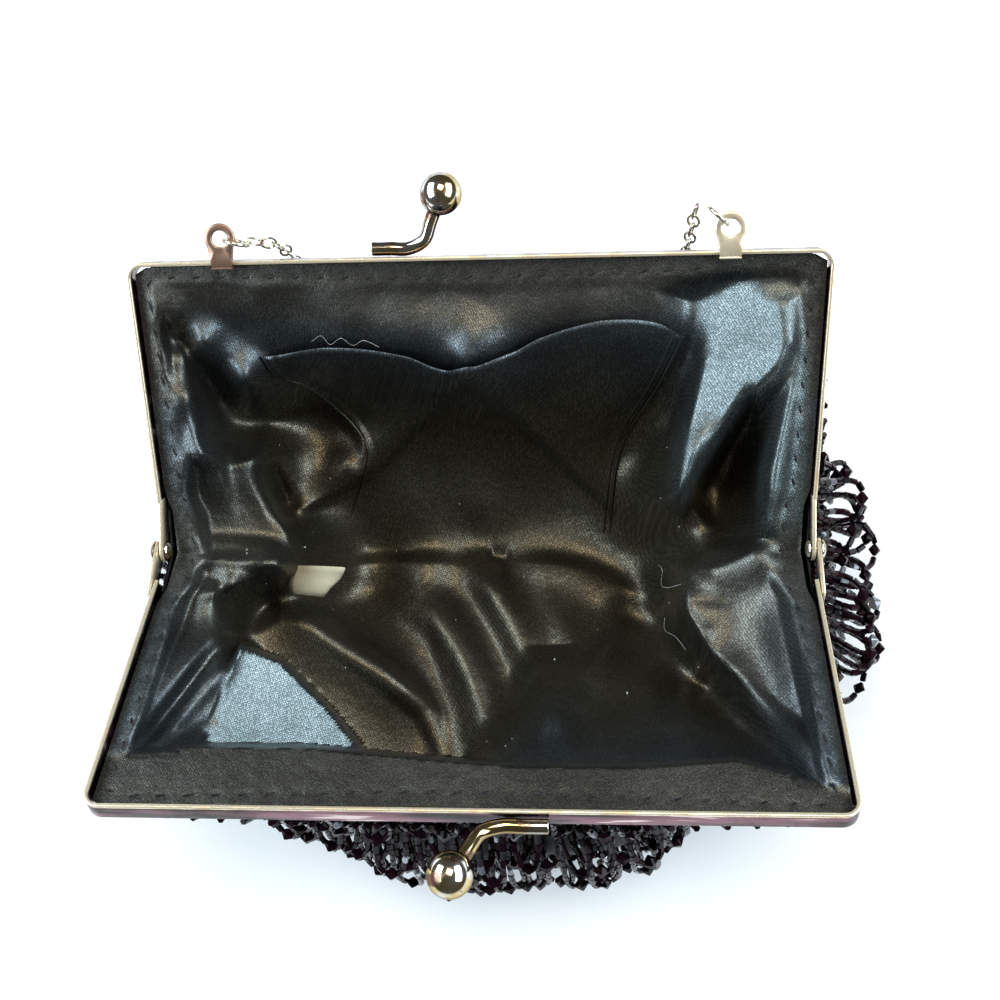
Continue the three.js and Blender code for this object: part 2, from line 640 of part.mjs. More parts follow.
// Ridges and, where rise is negative, hollows: a bent line from 0 over 1 to 2, its two half widths
// and its rise.
const LINING_FOLDS = [
  { x0: -88, y0: 71, x1: -74, y1: 60, x2: -58, y2: 44, left: 8, right: 7, rise: 6 },
  { x0: -80, y0: 56, x1: -75, y1: 46, x2: -71, y2: 34, left: 6, right: 6, rise: -7 },
  { x0: -89, y0: 55, x1: -76, y1: 40, x2: -66, y2: 23, left: 7, right: 6, rise: 6 },
  { x0: -80, y0: 12, x1: -66, y1: 11, x2: -56, y2: 7, left: 10, right: 9, rise: 18 },
  { x0: -76, y0: -2, x1: -62, y1: -2, x2: -48, y2: -3, left: 4, right: 4, rise: -6 },
  { x0: -78, y0: -12, x1: -66, y1: -10, x2: -50, y2: -8, left: 6, right: 6, rise: 8 },
  { x0: -64, y0: -15, x1: -57, y1: -17, x2: -50, y2: -15, left: 6, right: 6, rise: -12 },
  { x0: -64, y0: -28, x1: -73, y1: -39, x2: -80, y2: -49, left: 4, right: 4, rise: -5 },
  { x0: -56, y0: -11, x1: -30, y1: -22, x2: -5, y2: -47, left: 5, right: 9, rise: 6 },
  { x0: -24, y0: -5, x1: 4, y1: -24, x2: 4, y2: -62, left: 6, right: 6, rise: 9 },
  { x0: -6, y0: 1, x1: 12, y1: -18, x2: 23, y2: -58, left: 6, right: 6, rise: 9 },
  { x0: -46, y0: -1, x1: -10, y1: 5, x2: 16, y2: -1, left: 6, right: 6, rise: 9 },
  { x0: 16, y0: 0, x1: 36, y1: -2, x2: 54, y2: -12, left: 6, right: 6, rise: 9 },
  { x0: 54, y0: 62, x1: 66, y1: 44, x2: 48, y2: 16, left: 8, right: 7, rise: 9 },
  { x0: 70, y0: 36, x1: 57, y1: 22, x2: 64, y2: 5, left: 7, right: 7, rise: -9 },
  { x0: 52, y0: -4, x1: 43, y1: -18, x2: 57, y2: -30, left: 8, right: 5, rise: 6 },
  { x0: 72, y0: -24, x1: 77, y1: -36, x2: 82, y2: -52, left: 5, right: 6, rise: 6 },
  { x0: 38, y0: -17, x1: 24, y1: -34, x2: 8, y2: -50, left: 6, right: 12, rise: 9 },
  { x0: -4, y0: 40, x1: 0, y1: 30, x2: 3, y2: 16, left: 9, right: 9, rise: -16 },
];

function mouthPlace(point) {
  const scale = EYE.z / (EYE.z - (point.z - HINGE_HEIGHT));
  return { x: EYE.x + (point.x - EYE.x) * scale, y: EYE.y + (point.y - EYE.y) * scale };
}

function seen(place, height) {
  const scale = (EYE.z - height) / EYE.z;
  return new THREE.Vector3(
    EYE.x + (place.x - EYE.x) * scale, EYE.y + (place.y - EYE.y) * scale, HINGE_HEIGHT + height);
}

// Height of the flat border that lies in the plane of the nearer frame half.
function borderHeight(place) {
  const slant = Math.sin(TILT) * (EYE.y - place.y) / EYE.z;
  const back = (Math.sin(TILT) * place.y - LINING_EDGE_DROP) / (Math.cos(TILT) - slant);
  const front = (-Math.sin(TILT) * place.y - LINING_EDGE_DROP) / (Math.cos(TILT) + slant);
  return Math.max(back, front);
}

function mouthStation(turn) {
  const rows = MOUTH_STATIONS;
  const later = rows.findIndex((row) => row.turn > turn);
  const to = later < 0 ? { ...rows[0], turn: 360 } : rows[later];
  const from = rows[(later < 0 ? rows.length : later) - 1];
  const share = smooth(from.turn, to.turn, turn);
  return {
    border: THREE.MathUtils.lerp(from.border, to.border, share),
    fall: THREE.MathUtils.lerp(from.fall, to.fall, share),
  };
}

const FOLD_SAMPLES = 10;
const foldLines = LINING_FOLDS.map((fold) => ({
  ...fold,
  points: new THREE.QuadraticBezierCurve(
    new THREE.Vector2(fold.x0, fold.y0),
    new THREE.Vector2(fold.x1, fold.y1),
    new THREE.Vector2(fold.x2, fold.y2)).getPoints(FOLD_SAMPLES),
}));

// A fold's rise at a place: a rounded ridge along its line, with its own half width on each side.
function foldRise({ points, left, right, rise }, place) {
  let nearest = Infinity;
  let half = left;
  for (let k = 0; k + 1 < points.length; k += 1) {
    const along = points[k + 1].clone().sub(points[k]);
    const to = new THREE.Vector2(place.x, place.y).sub(points[k]);
    const share = THREE.MathUtils.clamp(to.dot(along) / along.lengthSq(), 0, 1);
    const away = to.clone().addScaledVector(along, -share).length();
    if (away < nearest) {
      nearest = away;
      half = along.cross(to) > 0 ? left : right;
    }
  }
  return rise * Math.exp(-((nearest / half) ** 2));
}

// How much a place belongs to a panel: 1 well inside it and 0 outside.
function panelShare({ x, y, long, wide, turn }, place) {
  const away = new THREE.Vector2(place.x - x, place.y - y);
  away.rotateAround(new THREE.Vector2(), -THREE.MathUtils.degToRad(turn));
  const powers = Math.abs(away.x / long) ** PANEL_SQUARE + Math.abs(away.y / wide) ** PANEL_SQUARE;
  return 1 - smooth(1 - PANEL_SOFT, 1 + PANEL_SOFT, powers ** (1 / PANEL_SQUARE));
}

function overPanels(height, place) {
  return LINING_PANELS.reduce((sum, panel) => {
    const plane = panel.height + panel.slopeX * (place.x - panel.x) + panel.slopeY * (place.y - panel.y);
    return THREE.MathUtils.lerp(sum, plane, panelShare(panel, place));
  }, height);
}

// Height of the lining's inner face at a place in the mouth that lies inward from the sewn edge.
function liningHeight(place, inward) {
  const turn = Math.atan2(place.y - MOUTH_MIDDLE.y, place.x - MOUTH_MIDDLE.x);
  const degrees = THREE.MathUtils.euclideanModulo(THREE.MathUtils.radToDeg(turn), 360);
  const { border, fall } = mouthStation(degrees);
  const highest = borderHeight(place);
  const sunk = THREE.MathUtils.lerp(highest, LINING_FLOOR, smooth(border, border + fall, inward));
  const free = smooth(FIRST_RING, FOLDS_FULL, inward);
  const folds = foldLines.reduce((sum, fold) => sum + foldRise(fold, place), 0);
  const height = THREE.MathUtils.lerp(sunk, overPanels(sunk, place), free) + folds * free;
  return THREE.MathUtils.clamp(height, LINING_LOWEST, highest + LINING_STAND);
}

// The mouth's outline on the hinge's level, to find how far inward a place lies on its line to the middle.
const mouthEdge = edgeStations(LINING_BAR_COLUMNS).map((station) => {
  const point = edgePoint(station, LINING_EDGE_INSET, LINING_EDGE_DROP, HINGE_TUCK);
  return { point, place: mouthPlace(point) };
});

function inwardOf(place) {
  const from = new THREE.Vector2(MOUTH_MIDDLE.x, MOUTH_MIDDLE.y);
  const ray = new THREE.Vector2(place.x, place.y).sub(from);
  if (ray.length() < GAP) return Infinity;
  for (let j = 0; j < mouthEdge.length; j += 1) {
    const a = new THREE.Vector2(mouthEdge[j].place.x, mouthEdge[j].place.y).sub(from);
    const next = mouthEdge[(j + 1) % mouthEdge.length].place;
    const b = new THREE.Vector2(next.x, next.y).sub(from);
    const whole = a.cross(b);
    const shareA = ray.cross(b) / whole;
    const shareB = a.cross(ray) / whole;
    if (shareA >= -1e-9 && shareB >= -1e-9) return ray.length() * (1 / (shareA + shareB) - 1);
  }
  return Infinity;
}

function liningPoint(place) {
  return seen(place, liningHeight(place, inwardOf(place)));
}

// A point off the lining's inner face, into the bag where off is positive.
const SLOPE_STEP = 1.5;

function offLining({ x, y }, off) {
  const alongX = liningPoint({ x: x + SLOPE_STEP, y }).sub(liningPoint({ x: x - SLOPE_STEP, y }));
  const alongY = liningPoint({ x, y: y + SLOPE_STEP }).sub(liningPoint({ x, y: y - SLOPE_STEP }));
  return liningPoint({ x, y }).addScaledVector(alongX.cross(alongY).normalize(), off);
}

// The lining as a wall from lowest to highest off its inner face.
function liningWall(lowest, highest) {
  const rowAt = (off) => (ring) => mouthEdge.map(({ point, place }) => {
    if (ring === 0) {
      const half = new THREE.Vector3(0, -Math.sign(point.y) * Math.sin(TILT), Math.cos(TILT));
      return point.clone().addScaledVector(half, off);
    }
    const toMiddle = new THREE.Vector2(MOUTH_MIDDLE.x - place.x, MOUTH_MIDDLE.y - place.y);
    const length = toMiddle.length();
    const inward = FIRST_RING + (length - FIRST_RING) * (ring - 1) / LINING_RINGS;
    toMiddle.multiplyScalar(inward / length);
    return offLining({ x: place.x + toMiddle.x, y: place.y + toMiddle.y }, off);
  });
  const rings = Array.from({ length: LINING_RINGS + 1 }, (_, ring) => ring);
  return wall(
    { rows: rings.map(rowAt(lowest)), tip: offLining(MOUTH_MIDDLE, lowest) },
    { rows: rings.map(rowAt(highest)), tip: offLining(MOUTH_MIDDLE, highest) });
}

addPiece(bag, 'lining', 'lining', geometryOf(solidOf(liningWall(-LINING_THICK, 0))));

// A sheet of cloth over a patch of the mouth, from its lower to its upper face.
function sheet(placeAt, across, down, lowest, highest) {
  const positions = [];
  const triangles = [];
  const index = (layer, i, j) => (layer * (down + 1) + i) * (across + 1) + j;
  for (const off of [lowest, highest]) {
    for (let i = 0; i <= down; i += 1) {
      for (let j = 0; j <= across; j += 1) {
        const point = offLining(placeAt(j / across, i / down), off);
        positions.push(point.x, point.y, point.z);
      }
    }
  }
  const face = (a, b, c, d) => triangles.push(a, b, c, a, c, d);
  for (let i = 0; i < down; i += 1) {
    for (let j = 0; j < across; j += 1) {
      face(index(1, i, j), index(1, i + 1, j), index(1, i + 1, j + 1), index(1, i, j + 1));
      face(index(0, i, j), index(0, i, j + 1), index(0, i + 1, j + 1), index(0, i + 1, j));
    }
  }
  for (let j = 0; j < across; j += 1) {
    face(index(0, 0, j), index(1, 0, j), index(1, 0, j + 1), index(0, 0, j + 1));
    face(index(0, down, j + 1), index(1, down, j + 1), index(1, down, j), index(0, down, j));
  }
  for (let i = 0; i < down; i += 1) {
    face(index(0, i + 1, 0), index(1, i + 1, 0), index(1, i, 0), index(0, i, 0));
    face(index(0, i, across), index(1, i, across), index(1, i + 1, across), index(0, i + 1, across));
  }
  const geometry = new THREE.BufferGeometry();
  geometry.setAttribute('position', new THREE.Float32BufferAttribute(positions, 3));
  geometry.setIndex(triangles);
  return geometry;
}

// Patch pocket on the back of the lining: hem from left to right, and the bottom seam under it.
const POCKET_HEM = [
  { x: -57, y: 52 },
  { x: -30, y: 55 },
  { x: -8, y: 50 },
  { x: 20, y: 58 },
  { x: 52, y: 55 },
];
const POCKET_BOTTOM = { left: { x: -34, y: 18 }, right: { x: 32, y: 14 } };
const POCKET_STAND = 0.8;
const POCKET_COLUMNS = 10;
const POCKET_ROWS = 5;

function pocketPlace(across, down) {
  const hem = new THREE.SplineCurve(POCKET_HEM.map(({ x, y }) => new THREE.Vector2(x, y))).getPoint(across);
  const { left, right } = POCKET_BOTTOM;
  const bottom = new THREE.Vector2(left.x, left.y).lerp(new THREE.Vector2(right.x, right.y), across);
  return hem.lerp(bottom, down);
}

const liningClearance = solidOf(liningWall(-LINING_THICK, GAP));
function clearOfLining(geometry) {
  const pieces = solidOf(geometry).subtract(liningClearance).decompose();
  return pieces.reduce((best, next) => (next.volume() > best.volume() ? next : best));
}

const pocketTop = POCKET_STAND + POCKET_THICK;
const pocketSheet = sheet(pocketPlace, POCKET_COLUMNS, POCKET_ROWS, POCKET_STAND, pocketTop);
addPiece(bag, 'pocket', 'lining', geometryOf(clearOfLining(pocketSheet)));

// Care label: a short folded ribbon sewn in beside the left hinge, with nothing on it.
const LABEL = { x: -48, y: -7, tuck: 1.5, long: 13, wide: 7.5, turn: -8, lift: 20, thick: 1 };

function labelRibbon() {
  const root = offLining({ x: LABEL.x, y: LABEL.y }, 0);
  const ribbon = box([-LABEL.tuck, -LABEL.wide / 2, 0], [LABEL.long, LABEL.wide / 2, LABEL.thick]);
  ribbon.rotateY(-THREE.MathUtils.degToRad(LABEL.lift));
  ribbon.rotateZ(THREE.MathUtils.degToRad(LABEL.turn));
  return ribbon.translate(root.x, root.y, root.z);
}

addPiece(bag, 'care_label', 'label', geometryOf(clearOfLining(labelRibbon())));

export default bag;
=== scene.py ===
# %% [markdown]
# # A beaded evening bag, standing open
# The bag is a hinged metal clasp frame with a soft satin bag sewn into it. Rows of glass bead loops
# hang on the outside, and a folded black satin lining fills the inside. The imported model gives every
# piece its place and size. This lesson dresses those pieces, one at a time, in millimetres.

import math

import bmesh
import bpy
import numpy as np
from mathutils import Matrix, Vector


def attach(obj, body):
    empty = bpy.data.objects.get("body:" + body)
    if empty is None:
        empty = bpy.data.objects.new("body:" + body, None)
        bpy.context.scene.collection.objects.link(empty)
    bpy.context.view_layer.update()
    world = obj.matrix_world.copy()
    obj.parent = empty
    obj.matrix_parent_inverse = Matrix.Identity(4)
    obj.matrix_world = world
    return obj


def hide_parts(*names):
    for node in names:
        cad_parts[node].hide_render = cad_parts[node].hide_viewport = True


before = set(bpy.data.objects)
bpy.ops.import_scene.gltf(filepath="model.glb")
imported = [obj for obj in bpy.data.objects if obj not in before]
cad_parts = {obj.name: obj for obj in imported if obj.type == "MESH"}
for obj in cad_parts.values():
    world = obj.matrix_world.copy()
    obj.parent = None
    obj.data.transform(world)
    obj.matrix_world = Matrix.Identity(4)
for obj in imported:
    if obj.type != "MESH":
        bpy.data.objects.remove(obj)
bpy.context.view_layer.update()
MM = 0.001
print("pieces in the packed model:", len(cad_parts))

# %% [markdown]
# ## Camera
# The photograph looks steeply down into the open mouth from a little to the right of the middle.
# The place and the two directions below were found by matching the four corners of the frame and
# its two hinges, so the render falls on the same pixels as the photograph.

# %% Camera
CAMERA_PLACE = (31.8, -63.7, 396)
CAMERA_FORWARD = Vector((-0.0821, 0.2294, -0.9699))
CAMERA_RIGHT = Vector((0.9966, 0.0130, -0.0813))
CAMERA_LENS = 47.3

camera = bpy.data.objects.new("camera", bpy.data.cameras.new("camera"))
bpy.context.scene.collection.objects.link(camera)
camera_up = CAMERA_RIGHT.cross(CAMERA_FORWARD)
camera.matrix_world = Matrix.LocRotScale(
    Vector(CAMERA_PLACE) * MM,
    Matrix((CAMERA_RIGHT, camera_up, -CAMERA_FORWARD)).transposed().to_quaternion(),
    None,
)
camera.data.lens = CAMERA_LENS
camera.data.sensor_width = 36
camera.data.clip_start = 0.01
bpy.context.scene.camera = camera
print("camera at", [round(x, 4) for x in camera.location])

# %% [markdown]
# ## Floor and light
# Black satin shows almost no colour of its own. What the eye reads is the light that its threads throw
# back. So the light is set first: a warm soft panel overhead that reaches down into the bag, and cool
# panels low on both sides that only the rim and the upper folds can see. The floor is plain and pale.

# %% Floor and light
FLOOR_SIZE = 3.0
FLOOR_COLOUR = (0.72, 0.72, 0.72, 1)


def plain_floor():
    mesh = bpy.data.meshes.new("floor")
    half = FLOOR_SIZE / 2
    mesh.from_pydata([(-half, -half, 0), (half, -half, 0), (half, half, 0), (-half, half, 0)], [], [(0, 1, 2, 3)])
    floor = bpy.data.objects.new("floor", mesh)
    bpy.context.scene.collection.objects.link(floor)
    paper = bpy.data.materials.new("pale_floor")
    paper.use_nodes = True
    shader = paper.node_tree.nodes["Principled BSDF"]
    shader.inputs["Base Color"].default_value = FLOOR_COLOUR
    shader.inputs["Roughness"].default_value = 0.9
    shader.inputs["Specular IOR Level"].default_value = 0.1
    mesh.materials.append(paper)


def soft_light(name, place, aim, long, tall, power, colour):
    lamp = bpy.data.lights.new(name, "AREA")
    lamp.shape = "RECTANGLE"
    lamp.size = long
    lamp.size_y = tall
    lamp.energy = power
    lamp.color = colour
    holder = bpy.data.objects.new(name, lamp)
    holder.location = place
    holder.rotation_euler = (Vector(aim) - Vector(place)).to_track_quat("-Z", "Y").to_euler()
    bpy.context.scene.collection.objects.link(holder)


def studio_air(colour, strength):
    world = bpy.data.worlds.new("studio_air")
    world.use_nodes = True
    back = world.node_tree.nodes["Background"]
    back.inputs["Color"].default_value = colour
    back.inputs["Strength"].default_value = strength
    bpy.context.scene.world = world


plain_floor()
soft_light("warm_overhead", (0.1, 0.25, 1.2), (0, 0, 0.05), 0.5, 0.5, 7, (1.0, 0.87, 0.68))
soft_light("cool_left", (-0.85, 0.10, 0.8), (0, 0, 0.08), 1.4, 0.6, 24, (0.80, 0.91, 1.0))
soft_light("cool_right", (0.85, 0.10, 0.8), (0, 0, 0.08), 1.4, 0.6, 24, (0.80, 0.91, 1.0))
studio_air((1.0, 0.92, 0.80, 1), 0.09)
bpy.context.scene.view_settings.view_transform = "Standard"

# %% [markdown]
# ## Mesh helpers
# Points and faces are worked out as plain arrays in millimetres. One helper turns them into an object that
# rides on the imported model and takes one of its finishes. Others put numbers on the points of a mesh, for
# its finish to read, and turn the faces of closed shapes outwards.

# %% Mesh helpers
SHARP_ANGLE = math.radians(40)


def smooth(low, high, value):
    share = np.clip((np.asarray(value, float) - low) / (high - low), 0, 1)
    return share * share * (3 - 2 * share)


def make_piece(name, points, faces, material, stands_for=()):
    mesh = bpy.data.meshes.new(name)
    rows = [row for block in faces for row in np.asarray(block).tolist()]
    mesh.from_pydata((np.asarray(points, float) * MM).tolist(), [], rows)
    mesh.polygons.foreach_set("use_smooth", [True] * len(mesh.polygons))
    mesh.set_sharp_from_angle(angle=SHARP_ANGLE)
    mesh.materials.append(material)
    piece = bpy.data.objects.new(name, mesh)
    bpy.context.scene.collection.objects.link(piece)
    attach(piece, "root")
    if stands_for:
        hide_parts(*stands_for)
    print(name, "faces:", len(mesh.polygons))
    return piece


def joined(shapes):
    """One list of points and faces from several."""
    points, faces, start = [], [], 0
    for shape_points, shape_faces in shapes:
        points.append(np.asarray(shape_points, float))
        faces += [np.asarray(block) + start for block in shape_faces]
        start += len(shape_points)
    return np.concatenate(points), faces


def band_quads(here, there):
    """Faces between rows of point numbers and the rows beside them. Each row closes round on itself."""
    return np.stack([here, np.roll(here, -1, 1), np.roll(there, -1, 1), there], axis=-1).reshape(-1, 4)


def paint(piece, name, values):
    """Puts a number on every point of a mesh, for its finish to read."""
    layer = piece.data.attributes.new(name, "FLOAT", "POINT")
    layer.data.foreach_set("value", np.asarray(values, np.float32))


def outward(piece):
    """Turns the faces of closed shapes outwards."""
    shape = bmesh.new()
    shape.from_mesh(piece.data)
    bmesh.ops.recalc_face_normals(shape, faces=shape.faces)
    shape.to_mesh(piece.data)
    shape.free()


def metal_piece(node, ending, points, faces, material, slot="frame_metal", tarnish_and_painted_light=0.0):
    piece = make_piece(node + ending, points, faces, material, [node])
    paint(piece, "tarnish_and_painted_light", np.broadcast_to(tarnish_and_painted_light, len(points)))
    outward(piece)


print("mesh helpers are ready")

# %% [markdown]
# ## Sweeps and curves
# Nearly every hard piece on this bag is a section drawn along a line: the frame strip, the clasp fingers,
# rings, chain links and threads. One sweep helper makes them all. It carries an up direction along the line
# without twisting it. The lines themselves are smooth curves through a few points.

# %% Sweeps
def unit(vectors):
    return vectors / np.linalg.norm(vectors, axis=-1, keepdims=True)


def directions(path, closed):
    return unit(np.roll(path, -1, 0) - np.roll(path, 1, 0) if closed else np.gradient(path, axis=0))


def carried_along(path, up, closed):
    """The directions along a path, and an up direction that turns with it without twisting."""
    ahead = directions(path, closed)
    ups = np.empty_like(path)
    current = np.asarray(up, float)
    for k, direction in enumerate(ahead):
        current = unit(current - direction * (current @ direction))
        ups[k] = current
    return ahead, ups


def sweep(path, section, widths=None, up=(0, 0, 1), closed=False):
    """A section, given as (sideways, up) points, drawn along a path."""
    path = np.asarray(path, float)
    section = np.asarray(section, float)
    widths = np.ones(len(path)) if widths is None else np.asarray(widths, float)
    ahead, ups = carried_along(path, up, closed)
    sides = np.cross(ahead, ups)
    across = section[None, :, :1] * sides[:, None] + section[None, :, 1:] * ups[:, None]
    points = (path[:, None] + across * widths[:, None, None]).reshape(-1, 3)
    count = len(section)
    here = np.arange(len(path) * count).reshape(len(path), count)
    there = np.roll(here, -1, 0)
    if not closed:
        here, there = here[:-1], there[:-1]
    quads = band_quads(here, there)
    if closed:
        return points, [quads]
    last = (len(path) - 1) * count
    return points, [quads, [list(range(count))[::-1]], [list(range(last, last + count))]]


def ring_section(radius, sides):
    turns = np.arange(sides) * 2 * math.pi / sides
    return np.stack([np.cos(turns), np.sin(turns)], axis=1) * radius


def soft_box_section(side_low, side_high, up_low, up_high, radius, steps=3):
    """A rectangle with rounded corners, to be swept."""
    points = []
    corners = [(side_high, up_high, 0), (side_low, up_high, 90), (side_low, up_low, 180), (side_high, up_low, 270)]
    for side, up, start in corners:
        middle_side = side - math.copysign(radius, side - (side_low + side_high) / 2)
        middle_up = up - math.copysign(radius, up - (up_low + up_high) / 2)
        for k in range(steps + 1):
            turn = math.radians(start + 90 * k / steps)
            points.append((middle_side + radius * math.cos(turn), middle_up + radius * math.sin(turn)))
    return np.array(points)


print("points in a round section of 12 sides:", len(ring_section(1, 12)))

# %% Curves
def curve_through(points, steps):
    """A smooth curve through points, with steps between each two. Leading axes may hold many curves."""
    points = np.asarray(points, float)
    first = 2 * points[..., :1, :] - points[..., 1:2, :]
    last = 2 * points[..., -1:, :] - points[..., -2:-1, :]
    p = np.concatenate([first, points, last], axis=-2)
    gaps = np.linalg.norm(np.diff(p, axis=-2), axis=-1, keepdims=True) ** 0.5
    before, between, after = gaps[..., :-2, :], gaps[..., 1:-1, :], gaps[..., 2:, :]
    p0, p1, p2, p3 = p[..., :-3, :], p[..., 1:-2, :], p[..., 2:-1, :], p[..., 3:, :]
    leave = ((p1 - p0) / before - (p2 - p0) / (before + between) + (p2 - p1) / between) * between
    arrive = ((p2 - p1) / between - (p3 - p1) / (between + after) + (p3 - p2) / after) * between
    t = (np.arange(steps) / steps)[:, None]
    p1, p2, leave, arrive = (a[..., None, :] for a in (p1, p2, leave, arrive))
    bent = p1 + leave * t + (3 * p2 - 3 * p1 - 2 * leave - arrive) * t**2
    bent = bent + (2 * p1 - 2 * p2 + leave + arrive) * t**3
    flat = bent.reshape(*bent.shape[:-3], -1, 3)
    return np.concatenate([flat, points[..., -1:, :]], axis=-2)


def lengths_along(path):
    """The distance of each point of a path from its start."""
    return np.concatenate([[0], np.cumsum(np.linalg.norm(np.diff(path, axis=0), axis=1))])


def at_lengths(path, along, wanted):
    """Points of a path at wanted distances from its start."""
    return np.stack([np.interp(wanted, along, column) for column in path.T], axis=1)


def evenly(path, step):
    """The path again with points a fixed step apart, and its length."""
    along = lengths_along(path)
    return at_lengths(path, along, np.arange(0, along[-1], step)), along[-1]


print("curve helpers are ready")

# %% [markdown]
# ## Finishes: shared effects
# Three effects come back in several finishes, so each is a node group that is built once. The weave group
# sets a small float of thread in each cell of the two thread directions that a cloth mesh carries on its
# points, so the weave bends with the folds. Its cells are a little uneven in place and in shine, as in real
# cloth, which also keeps false stripes out of the picture. The cloud group is a slow, soft-edged mask for
# tarnish, wear and uneven dye. The streak group draws long streaks along the frame: the dark bands and pale
# pink streaks of the painted reflection on its strip, and of the tarnish on the chain.

# %% Node helpers
def give(tree, socket, value):
    """Sets a socket to a plain value, or links it to another node."""
    if isinstance(value, bpy.types.NodeSocket):
        tree.links.new(value, socket)
    else:
        socket.default_value = value


def feed(tree, node, **values):
    for key, value in values.items():
        give(tree, node.inputs[key.replace("_", " ")], value)
    return node


def add_node(tree, kind, settings=None, **values):
    node = tree.nodes.new(kind)
    for key, value in (settings or {}).items():
        setattr(node, key, value)
    return feed(tree, node, **values)


def math_node(tree, operation, *values):
    node = add_node(tree, "ShaderNodeMath", {"operation": operation})
    for socket, value in zip(node.inputs, values):
        give(tree, socket, value)
    return node.outputs[0]


def mixed(tree, share, first, second):
    """A colour between two colours, by a varying share."""
    node = add_node(tree, "ShaderNodeMix", {"data_type": "RGBA"}, Factor=share)
    for socket, colour in ((node.inputs[6], first), (node.inputs[7], second)):
        give(tree, socket, (*colour, 1) if isinstance(colour, tuple) else colour)
    return node.outputs[2]


def ranged(tree, value, low, high, out_low=0, out_high=1):
    """A value eased from one range into another."""
    span = add_node(tree, "ShaderNodeMapRange", {"interpolation_type": "SMOOTHSTEP"}, Value=value,
                    From_Min=low, From_Max=high, To_Min=out_low, To_Max=out_high)
    return span.outputs["Result"]


def bumped(tree, height, strength, distance):
    return add_node(tree, "ShaderNodeBump", Height=height, Strength=strength, Distance=distance).outputs["Normal"]


def object_place(tree):
    return add_node(tree, "ShaderNodeTexCoord").outputs["Object"]


print("node helpers are ready")

# %% Shared effects
THREAD_STRAY = 0.4
FLOAT_LENGTH = 1.2
THREAD_SHINE = {"least": 0.78, "more": 0.44}
STREAK_SCALE = (26, 300, 300)


def shader_group(name, output, **inputs):
    """A node group of plain numbers, with one output."""
    tree = bpy.data.node_groups.new(name, "ShaderNodeTree")
    for key, value in inputs.items():
        socket = tree.interface.new_socket(name=key, in_out="INPUT", socket_type="NodeSocketFloat")
        socket.default_value = value
    tree.interface.new_socket(name=output, in_out="OUTPUT", socket_type="NodeSocketFloat")
    return tree, tree.nodes.new("NodeGroupInput").outputs, tree.nodes.new("NodeGroupOutput")


def weave_group():
    tree, entry, leave = shader_group("weave", "Threads", Warp=0.0, Weft=0.0, Pitch=0.9)
    long_pitch = math_node(tree, "MULTIPLY", entry["Pitch"], FLOAT_LENGTH)
    cell = add_node(tree, "ShaderNodeCombineXYZ", X=math_node(tree, "DIVIDE", entry["Warp"], long_pitch),
                    Y=math_node(tree, "DIVIDE", entry["Weft"], entry["Pitch"]))
    floats = add_node(tree, "ShaderNodeTexVoronoi", {"voronoi_dimensions": "2D"}, Vector=cell.outputs["Vector"],
                      Scale=1.0, Randomness=THREAD_STRAY)
    crown = math_node(tree, "SUBTRACT", 1.0, floats.outputs["Distance"])
    shine = math_node(tree, "MULTIPLY", floats.outputs["Color"], THREAD_SHINE["more"])
    shine = math_node(tree, "ADD", shine, THREAD_SHINE["least"])
    feed(tree, leave, Threads=math_node(tree, "MULTIPLY", crown, shine))
    return tree


def cloud_group():
    tree, entry, leave = shader_group("cloud", "Mask", Scale=60.0, Low=0.4, High=0.65)
    noise = add_node(tree, "ShaderNodeTexNoise", Vector=object_place(tree), Scale=entry["Scale"],
                     Detail=4.0, Roughness=0.6)
    feed(tree, leave, Mask=ranged(tree, noise.outputs["Fac"], entry["Low"], entry["High"]))
    return tree


def streak_group():
    tree, _, leave = shader_group("streak", "Mask")
    stretch = add_node(tree, "ShaderNodeVectorMath", {"operation": "MULTIPLY"})
    for socket, value in zip(stretch.inputs, (object_place(tree), STREAK_SCALE)):
        give(tree, socket, value)
    noise = add_node(tree, "ShaderNodeTexNoise", Vector=stretch.outputs["Vector"], Scale=1.0, Detail=3.0,
                     Roughness=0.55)
    span = add_node(tree, "ShaderNodeMapRange", Value=noise.outputs["Fac"], From_Min=0.3, From_Max=0.7)
    feed(tree, leave, Mask=span.outputs["Result"])
    return tree


WEAVE = weave_group()
CLOUD = cloud_group()
STREAK = streak_group()


def effect(tree, group, **values):
    """A shared effect, placed with its own numbers or with links from other nodes."""
    return add_node(tree, "ShaderNodeGroup", {"node_tree": group}, **values).outputs[0]


def painted(tree, name):
    """A value that a mesh carries on its points."""
    return add_node(tree, "ShaderNodeAttribute", {"attribute_name": name}).outputs["Fac"]


def woven(tree, pitch):
    """The weave along the thread directions that a cloth mesh carries, in mm."""
    return effect(tree, WEAVE, Warp=painted(tree, "warp"), Weft=painted(tree, "weft"), Pitch=pitch)


def new_finish(name, **plain):
    material = bpy.data.materials.new(name)
    material.use_nodes = True
    tree = material.node_tree
    return material, tree, feed(tree, tree.nodes["Principled BSDF"], **plain)


print("groups:", [g.name for g in bpy.data.node_groups])

# %% [markdown]
# ## Finishes: metal, satin, ribbon and glass
# The frame is plated metal. Its rims are rubbed to a pale gold. Below the rims its faces carry a painted
# reflection, dark mauve to rosy brown with pale pink streaks of painted highlight, which the meshes mark with
# a painted value. The same value paints a dark brown shade under the clasp fingers and tarnish spots on the
# chain. Satin throws a soft coloured gloss, so it is part metal in the shader. Its gloss colour is painted
# light by height: a cool grey near the rim, where the cool side lamps reach, and an olive gold in the depth
# of the bag, where the warm lamp overhead reaches. Two painted masks change that colour: the border, a
# darker, warmer painted shade on the flat bands where the lining is sewn along the frame, and the gleam, a
# brighter, bluer painted highlight on the panels that lie square to a lamp. The beads are near-black plum
# glass, and each bead carries its own tint.

